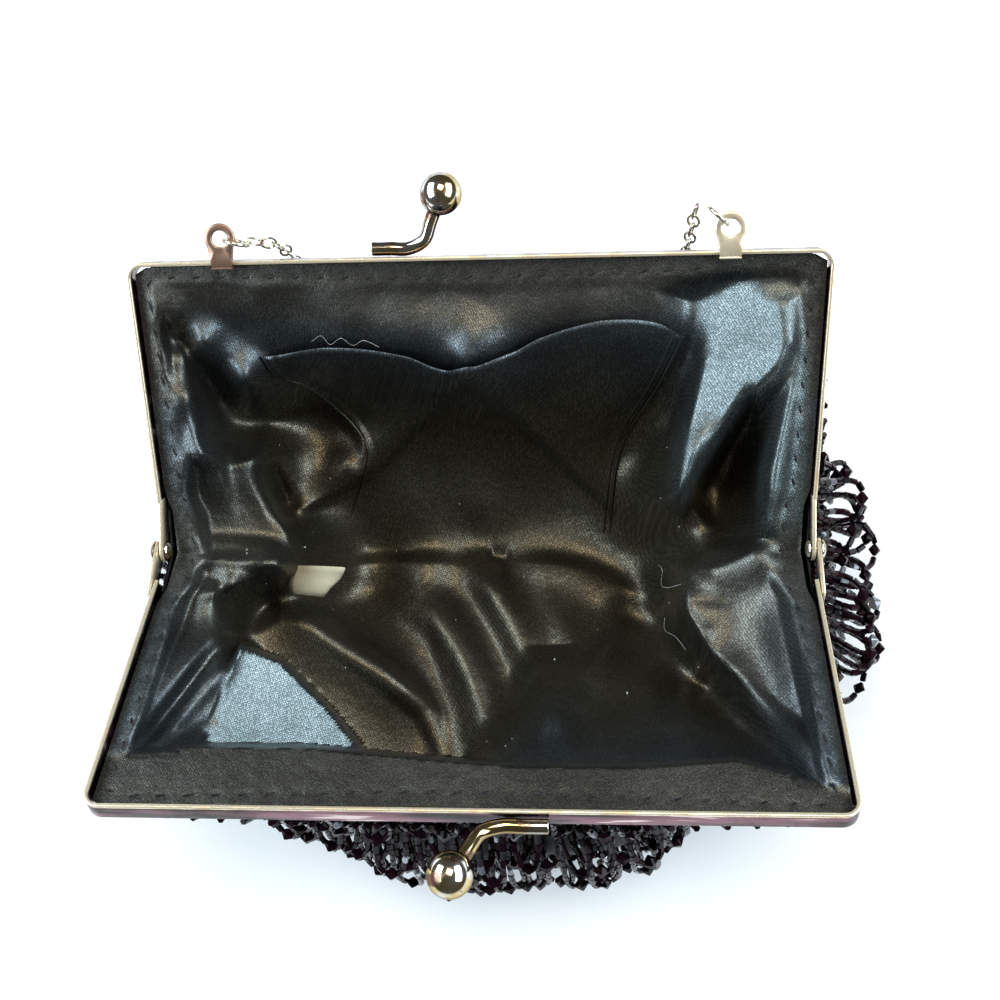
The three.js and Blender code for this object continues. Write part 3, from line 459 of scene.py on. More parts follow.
# %% Cloth finishes
THREAD_HEIGHT = 0.00012
YARN_HEIGHT = 0.0001
THREAD_HOLLOW_PAINTED_SHADE = (0.62, 0.62, 0.62)
THREAD_CROWN_PAINTED_HIGHLIGHT = (1.85, 1.85, 1.85)
CREASE_SHARE = 4.0


def satin(name, rim, deep, masks, pitch, roughness, metal):
    """Woven gloss. Rim and deep are a height and a colour each: the gloss colour runs from one to the other by
    height, which on the lining is painted light. Masks give painted values their colours, which on the lining are
    painted shade and painted highlight.
    """
    material, tree, shader = new_finish(name, Metallic=metal)
    split = add_node(tree, "ShaderNodeSeparateXYZ", Vector=object_place(tree))
    # Painted light: the gloss colour turns by height, and painted masks lay shade and highlight over it.
    depth = ranged(tree, split.outputs["Z"], deep["height"], rim["height"])
    dye_and_painted_light = mixed(tree, depth, deep["colour"], rim["colour"])
    for mask, colour in masks.items():
        dye_and_painted_light = mixed(tree, painted(tree, mask), dye_and_painted_light, colour)
    threads = woven(tree, pitch)
    cloud = effect(tree, CLOUD, Scale=45.0, Low=0.3, High=0.75)
    # Weave pattern with painted highlight and painted shade: thread crowns are painted brighter and the hollows
    # between threads darker.
    shade = mixed(tree, ranged(tree, threads, 0.45, 1.1), THREAD_HOLLOW_PAINTED_SHADE, THREAD_CROWN_PAINTED_HIGHLIGHT)
    tone = add_node(tree, "ShaderNodeMix", {"data_type": "RGBA", "blend_type": "MULTIPLY"}, Factor=1.0)
    give(tree, tone.inputs[6], dye_and_painted_light)
    give(tree, tone.inputs[7], shade)
    rubbed, combed = ranged(tree, cloud, 0, 1, -0.04, 0.05), ranged(tree, threads, 0.4, 1, 0.04, -0.03)
    gloss = math_node(tree, "ADD", math_node(tree, "ADD", rubbed, combed), roughness)
    creases = effect(tree, CLOUD, Scale=170.0, Low=0.2, High=0.8)
    relief = math_node(tree, "ADD", math_node(tree, "MULTIPLY", creases, CREASE_SHARE), threads)
    feed(tree, shader, Base_Color=tone.outputs[2], Roughness=gloss,
         Normal=bumped(tree, relief, 0.35, THREAD_HEIGHT))
    return material


def ribbon(name):
    material, tree, shader = new_finish(name, Roughness=0.75)
    threads = woven(tree, 0.5)
    cloud = effect(tree, CLOUD, Scale=120.0, Low=0.3, High=0.8)
    base = mixed(tree, cloud, (0.32, 0.295, 0.20), (0.26, 0.24, 0.16))
    # Painted highlight: the crowns of the threads are painted paler.
    feed(tree, shader, Base_Color=mixed(tree, ranged(tree, threads, 0, 1, 0, 0.25), base, (0.5, 0.46, 0.35)),
         Normal=bumped(tree, threads, 0.3, YARN_HEIGHT))
    return material


def yarn(name, dark, pale):
    """Spun thread, lighter and darker along its length."""
    material, tree, shader = new_finish(name, Roughness=0.8, Specular_IOR_Level=0.1)
    strands = effect(tree, CLOUD, Scale=900.0, Low=0.35, High=0.65)
    feed(tree, shader, Base_Color=mixed(tree, strands, dark, pale), Normal=bumped(tree, strands, 0.4, YARN_HEIGHT))
    return material


# The lining's colours are painted light: cool grey at the rim, olive gold deep down, a darker, warmer painted
# shade on the border bands and a brighter, bluer painted highlight on the gleam panels.
LINING_SATIN = satin(
    "lining_satin",
    rim={"height": 0.092, "colour": (0.082, 0.097, 0.104)},
    deep={"height": 0.050, "colour": (0.084, 0.076, 0.056)},
    masks={"border": (0.078, 0.078, 0.070), "gleam": (0.115, 0.142, 0.146)}, pitch=0.5, roughness=0.43, metal=0.95)
# The outer satin only turns a little darker and less blue towards the bottom.
OUTER_SATIN = satin(
    "outer_satin",
    rim={"height": 0.07, "colour": (0.012, 0.013, 0.016)},
    deep={"height": 0.02, "colour": (0.008, 0.009, 0.011)},
    masks={}, pitch=0.5, roughness=0.5, metal=0.85)
RIBBON = ribbon("label_ribbon")
BLACK_THREAD = yarn("black_thread", (0.008, 0.008, 0.009), (0.03, 0.03, 0.032))
PALE_THREAD = yarn("pale_thread", (0.16, 0.16, 0.155), (0.42, 0.42, 0.40))
print("cloth finishes:", [m.name for m in (LINING_SATIN, OUTER_SATIN, RIBBON, BLACK_THREAD, PALE_THREAD)])

# %% Metal and glass finishes
WORN_SHADE = (0.72, 0.64, 0.58)
WORN_ROUGHNESS = 1.8


def plated_metal(name, pale, roughness, metal):
    """Plating that is rubbed pale where the painted value is low. Where it is high, the colour is a painted
    reflection of dark mauve with pale pink streaks of painted highlight on the frame, and tarnish on the chain.
    """
    material, tree, shader = new_finish(name)
    cloud = effect(tree, CLOUD, Scale=160.0, Low=0.35, High=0.7)
    streak = effect(tree, STREAK)
    # Painted reflection: dark mauve bands and pale pink streak highlights, which take over where the painted value
    # is high.
    dark = mixed(tree, ranged(tree, streak, 0.3, 0.8), (0.016, 0.009, 0.011), (0.19, 0.085, 0.11))
    painted_reflection_and_tarnish = mixed(tree, ranged(tree, streak, 0.82, 0.96), dark, (0.62, 0.50, 0.50))
    tarnish_and_painted_light = painted(tree, "tarnish_and_painted_light")
    worn = mixed(tree, cloud, pale, tuple(share * channel for share, channel in zip(WORN_SHADE, pale)))
    feed(tree, shader, Base_Color=mixed(tree, tarnish_and_painted_light, worn, painted_reflection_and_tarnish),
         Metallic=ranged(tree, tarnish_and_painted_light, 0, 1, metal, 1.0),
         Roughness=ranged(tree, cloud, 0, 1, roughness, roughness * WORN_ROUGHNESS))
    return material


def marbled_metal(name):
    """Bright nickel that has worn through to brass and brown in patches. Where the painted value is high it is
    painted dark brown: a painted shade under the clasp fingers.
    """
    material, tree, shader = new_finish(name, Metallic=1.0, Specular_Tint=(0.42, 0.38, 0.34, 1))
    brassy = effect(tree, CLOUD, Scale=150.0, Low=0.42, High=0.56)
    stained = effect(tree, CLOUD, Scale=210.0, Low=0.54, High=0.64)
    warm = mixed(tree, brassy, (0.74, 0.73, 0.70), (0.62, 0.50, 0.26))
    brown = mixed(tree, stained, warm, (0.20, 0.115, 0.085))
    feed(tree, shader, Base_Color=mixed(tree, painted(tree, "tarnish_and_painted_light"), brown, (0.13, 0.085, 0.06)),
         Roughness=ranged(tree, stained, 0, 1, 0.12, 0.3))
    return material


def dark_glass(name):
    """Near-black glass by the painted tint of each bead. A few beads are pearly."""
    material, tree, shader = new_finish(name, IOR=1.5, Specular_IOR_Level=0.10)
    tint = painted(tree, "tint")
    colour = mixed(tree, ranged(tree, tint, 0, 1), (0.001, 0.0006, 0.001), (0.012, 0.004, 0.007))
    feed(tree, shader, Base_Color=mixed(tree, ranged(tree, tint, 0.95, 0.985), colour, (0.35, 0.38, 0.42)),
         Roughness=ranged(tree, effect(tree, CLOUD, Scale=700.0), 0, 1, 0.08, 0.22),
         Metallic=ranged(tree, tint, 0.93, 1.0, 0.0, 0.7))
    return material


NICKEL = plated_metal("rubbed_plating", (0.88, 0.80, 0.60), 0.20, 0.72)
POLISHED = marbled_metal("polished_plating")
ROSE = plated_metal("rose_plating", (0.36, 0.24, 0.18), 0.2, 0.8)
CHAIN_METAL = plated_metal("chain_metal", (0.74, 0.70, 0.58), 0.16, 0.9)
DARK_GLASS = dark_glass("plum_glass")
print("metal and glass finishes:", [m.name for m in (NICKEL, POLISHED, ROSE, CHAIN_METAL, DARK_GLASS)])

# %% [markdown]
# ## Frame halves
# Each half is a strip bent into an arch, with a turned-in edge that the cloth is sewn to and a lug at each
# hinge. A half is drawn lying flat, with x along the bar, y from the hinge to the bar and z towards the
# inside, and then tilted up to its place. The strip's edges are rounded, because a bright line along an
# edge is what makes metal look like metal.

# %% Frame sizes
HINGE_HEIGHT = 72
TILT = math.radians(28.7)
FRAME_WIDTH = 170
LEG_END_WIDTH = 165.2
FRAME_REACH = 73.2
STRIP_WIDTH = 5
STRIP_THICK = 1
FLANGE_WIDTH = 4
FLANGE_THICK = 0.8
CORNER_RADIUS = 4
CORNER_NOTCH = 5
LEG_START = 9.5
EDGE_ROUND = 0.3
# Heights on the strip where its colour turns from pale gold to the painted reflection.
PAINTED_REFLECTION_LEVELS = (-0.45, -0.8)
GAP = 0.3
LUG_RADIUS = 2.9
LUG_THICK = 1
LUG_OVERLAP = 4
LUG_OUTER = LEG_END_WIDTH / 2


def leg_x(y):
    share = (y - LEG_START) / (FRAME_REACH - LEG_START)
    return (LEG_END_WIDTH + (FRAME_WIDTH - LEG_END_WIDTH) * share) / 2


def in_bag(points, front=False):
    """Points of a half that is drawn flat, in the bag's own frame."""
    x, y, z = np.asarray(points, float).reshape(-1, 3).T
    across = y * math.cos(TILT) - z * math.sin(TILT)
    up = HINGE_HEIGHT + y * math.sin(TILT) + z * math.cos(TILT)
    return np.stack([-x, -across, up] if front else [x, across, up], axis=1)


print("strip at the bar stands at", in_bag([(0, FRAME_REACH, 0)]).round(1).tolist())

# %% Strip and plates
def arch_line(inset, corner_steps=8):
    top, radius = FRAME_REACH - inset, CORNER_RADIUS - inset
    line = [(leg_x(LEG_START) - inset, LEG_START, 0)]
    middle_x, middle_y = leg_x(top) - inset - radius, top - radius
    for k in range(corner_steps + 1):
        turn = math.radians(90 * k / corner_steps)
        line.append((middle_x + radius * math.cos(turn), middle_y + radius * math.sin(turn), 0))
    line = np.array(line)
    return np.concatenate([line, line[::-1] * (-1, 1, 1)])


def plate(outline, low, high, rounding):
    """A flat plate with rounded rims, from an outline that runs anticlockwise."""
    outline = np.asarray(outline, float)
    ahead = directions(np.c_[outline, np.zeros(len(outline))], True)[:, :2]
    inward = np.stack([-ahead[:, 1], ahead[:, 0]], axis=1)
    rings = [(rounding, low), (rounding * 0.3, low + rounding * 0.3), (0, low + rounding),
             (0, high - rounding), (rounding * 0.3, high - rounding * 0.3), (rounding, high)]
    points = np.concatenate([np.c_[outline + inward * inset, np.full(len(outline), z)] for inset, z in rings])
    count = len(outline)
    index = np.arange(len(points)).reshape(len(rings), count)
    return points, [band_quads(index[:-1], index[1:]), [index[0][::-1].tolist()], [index[-1].tolist()]]


def lug(inner, outer):
    turns = np.radians(np.linspace(90, 270, 13))
    end = LEG_START + LUG_OVERLAP
    outline = [(LEG_START, -STRIP_WIDTH + 0.4), (end, -STRIP_WIDTH + 0.4), (end, -0.2)]
    outline += [(LUG_RADIUS * math.cos(t), LUG_RADIUS * math.sin(t)) for t in turns]
    points, faces = plate(outline, inner, outer, EDGE_ROUND)
    return points[:, [2, 0, 1]], faces


def with_levels(section, levels):
    """A section with extra points where its sides cross the given heights, to hold a colour change."""
    points = []
    for a, b in zip(section, np.roll(section, -1, 0)):
        points.append(a)
        crossed = [(level - a[1]) / (b[1] - a[1]) for level in levels if (level - a[1]) * (level - b[1]) < 0]
        points += [a + (b - a) * share for share in sorted(crossed)]
    return np.array(points)


print("points along the arch:", len(arch_line(STRIP_THICK / 2)))

# %% Frame halves
def frame_half(front):
    section = soft_box_section(-STRIP_THICK / 2, STRIP_THICK / 2, -STRIP_WIDTH, 0, EDGE_ROUND)
    strip = sweep(arch_line(STRIP_THICK / 2), with_levels(section, PAINTED_REFLECTION_LEVELS))
    flange_section = soft_box_section(0, FLANGE_WIDTH + 0.3, -STRIP_WIDTH, FLANGE_THICK - STRIP_WIDTH, 0.25)
    start, end = LEG_START + LUG_OVERLAP, FRAME_REACH - CORNER_NOTCH
    inside = STRIP_THICK - 0.3
    half_bar = FRAME_WIDTH / 2 - CORNER_NOTCH
    lines = [
        [(leg_x(end) - inside, end, 0), (leg_x(start) - inside, start, 0)],
        [(-half_bar, FRAME_REACH - inside, 0), (half_bar, FRAME_REACH - inside, 0)],
        [(-leg_x(start) + inside, start, 0), (-leg_x(end) + inside, end, 0)],
    ]
    shapes = [strip] + [sweep(np.linspace(*np.array(line), 8), flange_section) for line in lines]
    low = LUG_OUTER + GAP if front else LUG_OUTER - LUG_THICK
    for side in (1, -1):
        points, faces = lug(low, low + LUG_THICK)
        shapes.append((points * (side, 1, 1), faces))
        if front:
            bridge = sweep(
                np.linspace((leg_x(LEG_START) - 0.5, LEG_START + 2, 0), (low + 0.4, LEG_START + 2, 0), 3),
                soft_box_section(-1.8, 1.6, -STRIP_WIDTH + 0.8, -0.8, 0.25))
            shapes.append((bridge[0] * (side, 1, 1), bridge[1]))
    points, faces = joined(shapes)
    # Painted reflection: every face below the rim gets the painted value that turns it dark mauve.
    tarnish_and_painted_light = smooth(*PAINTED_REFLECTION_LEVELS, points[:, 2])
    return in_bag(points, front), faces, tarnish_and_painted_light


for half_name, is_front in (("frame_back", False), ("frame_front", True)):
    half_points, half_faces, half_painted_reflection = frame_half(is_front)
    metal_piece(half_name, "_metal", half_points, half_faces, NICKEL, tarnish_and_painted_light=half_painted_reflection)

# %% [markdown]
# ## Clasp fingers
# Two bent fingers with balls snap past each other to close the bag. Each is a round rod that is swept
# along its bent line. Towards the end its radius grows into the ball by a smooth blend of the rod's and
# the ball's radius, so the neck has the small fillet of a cast piece.

# %% Clasp fingers
BALL_RADIUS = 5
FINGER_RADIUS = 1.65
BALL_REACH = 14.6
BALL_STEPS = 16
NECK_STEPS = 24
FINGER_STEPS = 12
FINGER_PAINTED_SHADE = 0.6
FINGER_Y = FRAME_REACH + FINGER_RADIUS + GAP
FINGER_Z = -STRIP_WIDTH / 2
FINGERS = {
    "clasp_back": {"tail": -24.4, "bend": -15.6, "ball": -7.0, "front": False},
    "clasp_front": {"tail": -18.7, "bend": -8.5, "ball": 1.5, "front": True},
}


def clasp_finger(tail, bend, ball, front):
    ball_y = FRAME_REACH + BALL_REACH

    def rise(share):
        return (
            bend + (ball - bend) * (0.35 + 0.65 * share),
            FINGER_Y + (ball_y - FINGER_Y) * share,
            FINGER_Z * (1 - share),
        )

    line = curve_through(
        [(tail, FINGER_Y, FINGER_Z), ((tail + bend) / 2, FINGER_Y, FINGER_Z), (bend, FINGER_Y, FINGER_Z),
         rise(0.15), rise(0.5), (ball, ball_y, 0)], FINGER_STEPS)
    past = directions(line, False)[-1] * BALL_RADIUS
    bent, neck = line[:-FINGER_STEPS - 1], line[-FINGER_STEPS - 1:]
    line = np.concatenate([bent, np.linspace(neck[0], neck[-1], NECK_STEPS)[:-1],
                           line[-1] + np.sin(np.linspace(0, math.pi / 2, BALL_STEPS))[:, None] * past])
    away = np.linalg.norm(line - np.array((ball, ball_y, 0)), axis=1)
    globe = np.sqrt(np.clip(BALL_RADIUS**2 - away**2, 0.0004, None))
    beyond = np.arange(len(line)) >= len(line) - BALL_STEPS
    radius = np.where(beyond, globe, (globe**5 + FINGER_RADIUS**5) ** 0.2)
    along = np.linalg.norm(line - line[0], axis=1)
    radius = radius * np.where(along < 0.3, 0.82, 1)
    start = line[0] + (line[1] - line[0]) * np.array([0.02, 0.2, 0.5])[:, None]
    line = np.concatenate([line[:1], start, line[1:]])
    radius = np.concatenate([radius[:1] * 0.98, FINGER_RADIUS * np.array([0.9, 0.97, 1.0]), radius[1:]])
    points, faces = sweep(line, ring_section(1, 28), radius)
    # Painted shade: the underside of the finger and its ball is painted dark brown.
    underside = smooth(0.8, -3.2, points[:, 2])
    return in_bag(points, front), faces, underside * FINGER_PAINTED_SHADE


for finger_name, finger in FINGERS.items():
    finger_points, finger_faces, finger_painted_shade = clasp_finger(**finger)
    metal_piece(finger_name, "_rod", finger_points, finger_faces, POLISHED, tarnish_and_painted_light=finger_painted_shade)

# %% [markdown]
# ## Hinge rivets, chain tabs and jump rings
# A rivet is a turned piece, so its outline is spun round the hinge axis. A tab is a flat eye: two outlines,
# the outer one and the hole, are joined into one ring of faces with rounded rims. The jump rings are wire.

# %% Hinge rivets
RIVET_RADIUS = 1.1
RIVET_HEAD_RADIUS = 2.6
RIVET_HEAD_HEIGHT = 1.2


def spun(profile, sides=28):
    """A closed outline of (radius, along) points spun round the x axis."""
    profile = np.asarray(profile, float)
    radius, along = profile.T
    points = [np.stack([along, radius * cos, radius * sin], 1) for cos, sin in ring_section(1, sides)]
    count = len(profile)
    index = np.arange(count * sides).reshape(sides, count)
    there = np.roll(index, -1, 0)
    quads = np.stack([index[:, :-1], index[:, 1:], there[:, 1:], there[:, :-1]], -1).reshape(-1, 4)
    return np.concatenate(points), [quads, [index[::-1, 0].tolist()], [index[:, -1].tolist()]]


def dome(base, height, radius, steps=6):
    turns = np.linspace(0, math.pi / 2 * 0.94, steps)
    return [(radius * math.cos(t), base + height * math.sin(t)) for t in turns]


def rivet(side):
    inner = LUG_OUTER - LUG_THICK - GAP
    outer = LUG_OUTER + GAP + LUG_THICK + GAP
    low_head = [(r, inner - (h - inner)) for r, h in dome(inner, RIVET_HEAD_HEIGHT, RIVET_HEAD_RADIUS)]
    profile = low_head[::-1] + [(RIVET_RADIUS, inner), (RIVET_RADIUS, outer)]
    profile += dome(outer, RIVET_HEAD_HEIGHT, RIVET_HEAD_RADIUS)
    points, faces = spun(profile)
    return points * (side, 1, 1) + (0, 0, HINGE_HEIGHT), faces


print("points in a rivet:", len(rivet(1)[0]))

# %% Chain tabs
TAB_SPACING = 121.2
TAB_HEAD_RADIUS = 3.7
TAB_HOLE_RADIUS = 1.95
TAB_HEAD_REACH = 5.4
TAB_HALF_WIDTH = 2.5
TAB_SHOULDER = 3.5
TAB_THICK = 1
TAB_LEG_THICK = 0.6
TAB_LEG = 2
TAB_METAL = {"left": ROSE, "right": NICKEL}


def tab_eye():
    length = TAB_HEAD_REACH + STRIP_THICK + GAP
    corner = math.atan2(length, TAB_HALF_WIDTH)
    turns = np.unique(np.concatenate([np.linspace(0, 2 * math.pi, 72, endpoint=False),
                                      [math.pi + corner, 2 * math.pi - corner]]))
    cos, sin = np.cos(turns), np.sin(turns)
    sides = TAB_SHOULDER / (np.abs(cos) + (TAB_SHOULDER - TAB_HALF_WIDTH) * np.abs(sin) / length)
    below = np.minimum(sides, length / np.maximum(-sin, 1e-6))
    reach = np.where(sin < 0, np.maximum(TAB_HEAD_RADIUS, below), TAB_HEAD_RADIUS)
    rings = []
    low, high, r = GAP, GAP + TAB_THICK, EDGE_ROUND
    for inset, z in ((r, low), (0.1, low + 0.1), (0, low + r), (0, high - r), (0.1, high - 0.1), (r, high)):
        rings.append(np.stack([(reach - inset) * cos, (reach - inset) * sin, np.full_like(cos, z)], 1))
    for inset, z in ((r, high), (0.1, high - 0.1), (0, high - r), (0, low + r), (0.1, low + 0.1), (r, low)):
        hole = TAB_HOLE_RADIUS + inset
        rings.append(np.stack([hole * cos, hole * sin, np.full_like(cos, z)], 1))
    index = np.arange(len(rings) * len(turns)).reshape(len(rings), len(turns))
    return np.concatenate(rings), [band_quads(index, np.roll(index, -1, 0))]


def tab(x):
    points, faces = tab_eye()
    eye = (points + (x, FRAME_REACH + TAB_HEAD_REACH, 0), faces)
    inside = FRAME_REACH - STRIP_THICK - GAP - TAB_LEG_THICK / 2
    leg_half = TAB_LEG_THICK / 2
    leg_section = soft_box_section(-leg_half, leg_half, -TAB_LEG, GAP + TAB_THICK - 0.1, leg_half * 0.9)
    leg = sweep(np.linspace((x - TAB_HALF_WIDTH, inside, 0), (x + TAB_HALF_WIDTH, inside, 0), 4), leg_section)
    points, faces = joined([eye, leg])
    return in_bag(points), faces


print("points in a tab:", len(tab(0)[0]))

# %% Jump rings, and all three on both sides
RING_RADIUS = 3
RING_WIRE = 1
RING_PLAY = 0.5
RING_TURNS = {"left": -14, "right": 138}


def jump_ring(x, turn):
    turn = math.radians(turn)
    offset = RING_RADIUS + TAB_HOLE_RADIUS - RING_WIRE / 2 - RING_PLAY
    middle = np.array((x + offset * math.cos(turn), FRAME_REACH + TAB_HEAD_REACH + offset * math.sin(turn),
                       GAP + TAB_THICK / 2))
    out = np.array((math.cos(turn), math.sin(turn), 0))
    spin = np.linspace(0, 2 * math.pi, 40, endpoint=False)[:, None]
    line = middle + RING_RADIUS * (np.cos(spin) * out + np.sin(spin) * np.array((0, 0, 1)))
    points, faces = sweep(line, ring_section(RING_WIRE / 2, 12), up=np.cross(out, (0, 0, 1)), closed=True)
    return in_bag(points), faces


for side_name, side in (("left", -1), ("right", 1)):
    tab_x = side * TAB_SPACING / 2
    metal_piece("hinge_rivet_" + side_name, "_turned", *rivet(side), POLISHED)
    metal_piece("chain_tab_" + side_name, "_eye", *tab(tab_x), TAB_METAL[side_name])
    ring = jump_ring(tab_x, RING_TURNS[side_name])
    metal_piece("jump_ring_" + side_name, "_wire", *ring, CHAIN_METAL, "chain_metal")

# %% [markdown]
# ## Handle chain
# The chain runs from ring to ring, down behind the bag and along the floor. Each link is an oval of wire,
# and every second link is turned a quarter round, so each one passes through its neighbours.

# %% Handle chain
LINK_LENGTH = 5.4
LINK_WIDTH = 3.5
LINK_WIRE = 0.66
LINK_STEP = LINK_LENGTH - 2 * LINK_WIRE - 0.05
CHAIN_DROP = [  # back, height
    (71.2, 92), (72, 86), (74.5, 78), (77.5, 70), (81.2, 60), (84.4, 50), (86, 38), (85.6, 20), (86.4, 8.5),
    (90, 2.6)]
CHAIN_LEFT = {"x": -47, "hook": [(-52.4, 68.4, 109), (-49.6, 69.4, 105.6), (-47.6, 70.6, 99)]}
CHAIN_RIGHT = {"x": 51.5, "hook": [(52.4, 72.3, 112.2), (52.1, 71.6, 106.5), (51.8, 71.2, 99)]}
BOW = {"turns": 9, "inset": 4, "back": 91, "depth": 14, "height": 2}
LINK_SLANT = 40


def chain_route():
    """From ring to ring: down behind the bag, in a bow along the floor and up again."""
    left, right = (side["hook"] + [(side["x"], back, height) for back, height in CHAIN_DROP]
                   for side in (CHAIN_LEFT, CHAIN_RIGHT))
    low, high = CHAIN_LEFT["x"] + BOW["inset"], CHAIN_RIGHT["x"] - BOW["inset"]
    turns = np.linspace(0, math.pi, BOW["turns"] + 2)[1:-1]
    middle, half = (low + high) / 2, (high - low) / 2
    bow = [(middle - half * math.cos(t), BOW["back"] + BOW["depth"] * math.sin(t), BOW["height"]) for t in turns]
    return left + bow + right[::-1]


def chain_links():
    middles, length = evenly(curve_through(chain_route(), 12), LINK_STEP)
    ahead, ups = carried_along(middles, (1, 0, 0), False)
    sides = np.cross(ahead, ups)
    spin = np.linspace(0, 2 * math.pi, 16, endpoint=False)[:, None]
    half_long, half_wide = (LINK_LENGTH - LINK_WIRE) / 2, (LINK_WIDTH - LINK_WIRE) / 2
    shapes = []
    for k, (middle, forward, up, side) in enumerate(zip(middles, ahead, ups, sides)):
        slant = math.radians(LINK_SLANT + 90 * (k % 2))
        wide = math.cos(slant) * up + math.sin(slant) * side
        line = middle + half_long * np.cos(spin) * forward + half_wide * np.sin(spin) * wide
        shapes.append(sweep(line, ring_section(LINK_WIRE / 2, 6), up=np.cross(forward, wide), closed=True))
    print("chain length in mm:", round(length), "links:", len(shapes))
    return joined(shapes)


chain_points, chain_faces = chain_links()
chain_tarnish = smooth(0.7, 1.0, np.sin(chain_points[:, 0] * 1.7) * np.cos(chain_points[:, 2] * 1.1))
metal_piece("chain", "_links", chain_points, chain_faces, CHAIN_METAL, "chain_metal", chain_tarnish)

# %% [markdown]
# ## Satin body
# The outer bag hangs from the sewn edge, bulges and ends in a flat bottom. Lines run down it from stations
# round the edge through level ovals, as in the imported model, and hollow folds are pressed into it. The
# same surface, kept as a fine grid, later says where the bead loops hang.

# %% Sewn edge
CLOTH_EDGE_INSET = 0.6
BODY_EDGE_DROP = STRIP_WIDTH + GAP
HINGE_TUCK_REACH = 16


def edge_stations(leg_columns, bar_columns, notch):
    """Stations round the mouth: right back leg, back bar, left back leg, then the front half."""
    leg_end = FRAME_REACH - notch
    bar_end = 1 - notch / (FRAME_WIDTH / 2)
    rising = [(leg_end * k / leg_columns, 1.0) for k in range(leg_columns + 1)]
    bar = [(FRAME_REACH, bar_end * (1 - 2 * k / bar_columns)) for k in range(bar_columns + 1)]
    falling = [(leg_end * k / leg_columns, -1.0) for k in range(leg_columns, 0, -1)]
    half = rising + bar + falling
    rows = [(1, y, bar_share) for y, bar_share in half] + [(-1, y, -bar_share) for y, bar_share in half]
    return np.array(rows).T


def edge_points(stations, inset, drop, tuck=0.0):
    side, y, bar = stations
    reach = np.minimum(y, FRAME_REACH - inset)
    lean = smooth(0, LEG_START * 1.5, reach)
    x = bar * (leg_x(reach) - inset - tuck * (1 - smooth(LEG_START, HINGE_TUCK_REACH, y)))
    across = reach * math.cos(TILT) + drop * math.sin(TILT) * lean
    up = reach * math.sin(TILT) - drop * np.cos(TILT * lean)
    return np.stack([x, side * across, HINGE_HEIGHT + up], axis=1)


print("edge stations:", edge_stations(9, 16, CORNER_NOTCH).shape[1])

# %% Satin body
BODY_SECTIONS = [
    {"share": 0.74, "half_x": 83, "half_y": 61.5, "shift_x": 1, "square": 4},
    {"share": 0.42, "half_x": 92, "half_y": 77, "shift_x": 3, "square": 2},
    {"share": 0.14, "half_x": 85, "half_y": 69, "shift_x": 3, "square": 2.1},
    {"share": 0, "half_x": 62, "half_y": 45, "shift_x": 3, "square": 2.2},
]
BODY_FOLDS = [  # turn and width in degrees, depth in mm
    (0, 7, 4), (38, 6, 2), (66, 5, 1.6), (97, 6, 2), (128, 5, 1.6), (152, 5, 2),
    (181, 7, 4), (214, 6, 2), (246, 5, 1.6), (275, 6, 2), (304, 5, 1.6), (333, 5, 2)]
BODY_STEPS = 14
HINGE_RAISE = 1.9
BODY_THICK = 0.0008
FLOOR_GAP = 0.05


def body_surface():
    """Points of the outer cloth and directions out of it, as grids: stations by steps down."""
    stations = edge_stations(36, 64, CORNER_NOTCH)
    raised = HINGE_RAISE * (1 - smooth(2, LEG_START, stations[1]))
    edge = edge_points(stations, CLOTH_EDGE_INSET, BODY_EDGE_DROP - raised)
    top = BODY_SECTIONS[0]
    turn = np.arctan2(edge[:, 1] / top["half_y"], edge[:, 0] / top["half_x"])
    across, deep = np.cos(turn), np.sin(turn)
    levels = [edge]
    for row in BODY_SECTIONS:
        swell = (np.abs(across) ** row["square"] + np.abs(deep) ** row["square"]) ** (-1 / row["square"])
        levels.append(np.stack([row["shift_x"] + row["half_x"] * across * swell, row["half_y"] * deep * swell,
                                row["share"] * edge[:, 2]], axis=1))
    lines = curve_through(np.stack(levels, axis=1), BODY_STEPS)
    down = np.linspace(0, 1, lines.shape[1])
    along = np.gradient(lines, axis=1)
    sideways = np.stack([-np.sin(turn), np.cos(turn), 0 * turn], axis=1)[:, None]
    out = unit(np.cross(along, np.broadcast_to(sideways, along.shape)))
    fade = smooth(0.08, 0.4, down) * (1 - smooth(0.5, 0.8, down))
    hollow = np.zeros(len(turn))
    for fold_turn, wide, deep_mm in BODY_FOLDS:
        away = ((np.degrees(turn) - fold_turn + 180) % 360 - 180) / wide
        hollow += deep_mm * np.exp(-away * away)
    points = lines - out * (hollow[:, None] * fade)[..., None]
    points[..., 2] = np.maximum(points[..., 2], FLOOR_GAP)
    points[:, -1, 2] = FLOOR_GAP
    return points, out


BODY, BODY_OUT = body_surface()


def satin_body():
    count, rows = BODY.shape[:2]
    tip = np.array([[BODY_SECTIONS[-1]["shift_x"], 0, FLOOR_GAP]])
    points = np.concatenate([BODY.transpose(1, 0, 2).reshape(-1, 3), tip])
    index = np.arange(count * rows).reshape(rows, count)
    quads = np.stack([index[:-1], index[1:], np.roll(index[1:], -1, 1), np.roll(index[:-1], -1, 1)], -1)
    fan = np.stack([index[-1], np.full(count, count * rows), np.roll(index[-1], -1)], -1)
    return points, [quads.reshape(-1, 4), fan]


def thickened(piece, thickness, offset):
    solid = piece.modifiers.new("cloth_thickness", "SOLIDIFY")
    solid.thickness = thickness
    solid.offset = offset
    return piece


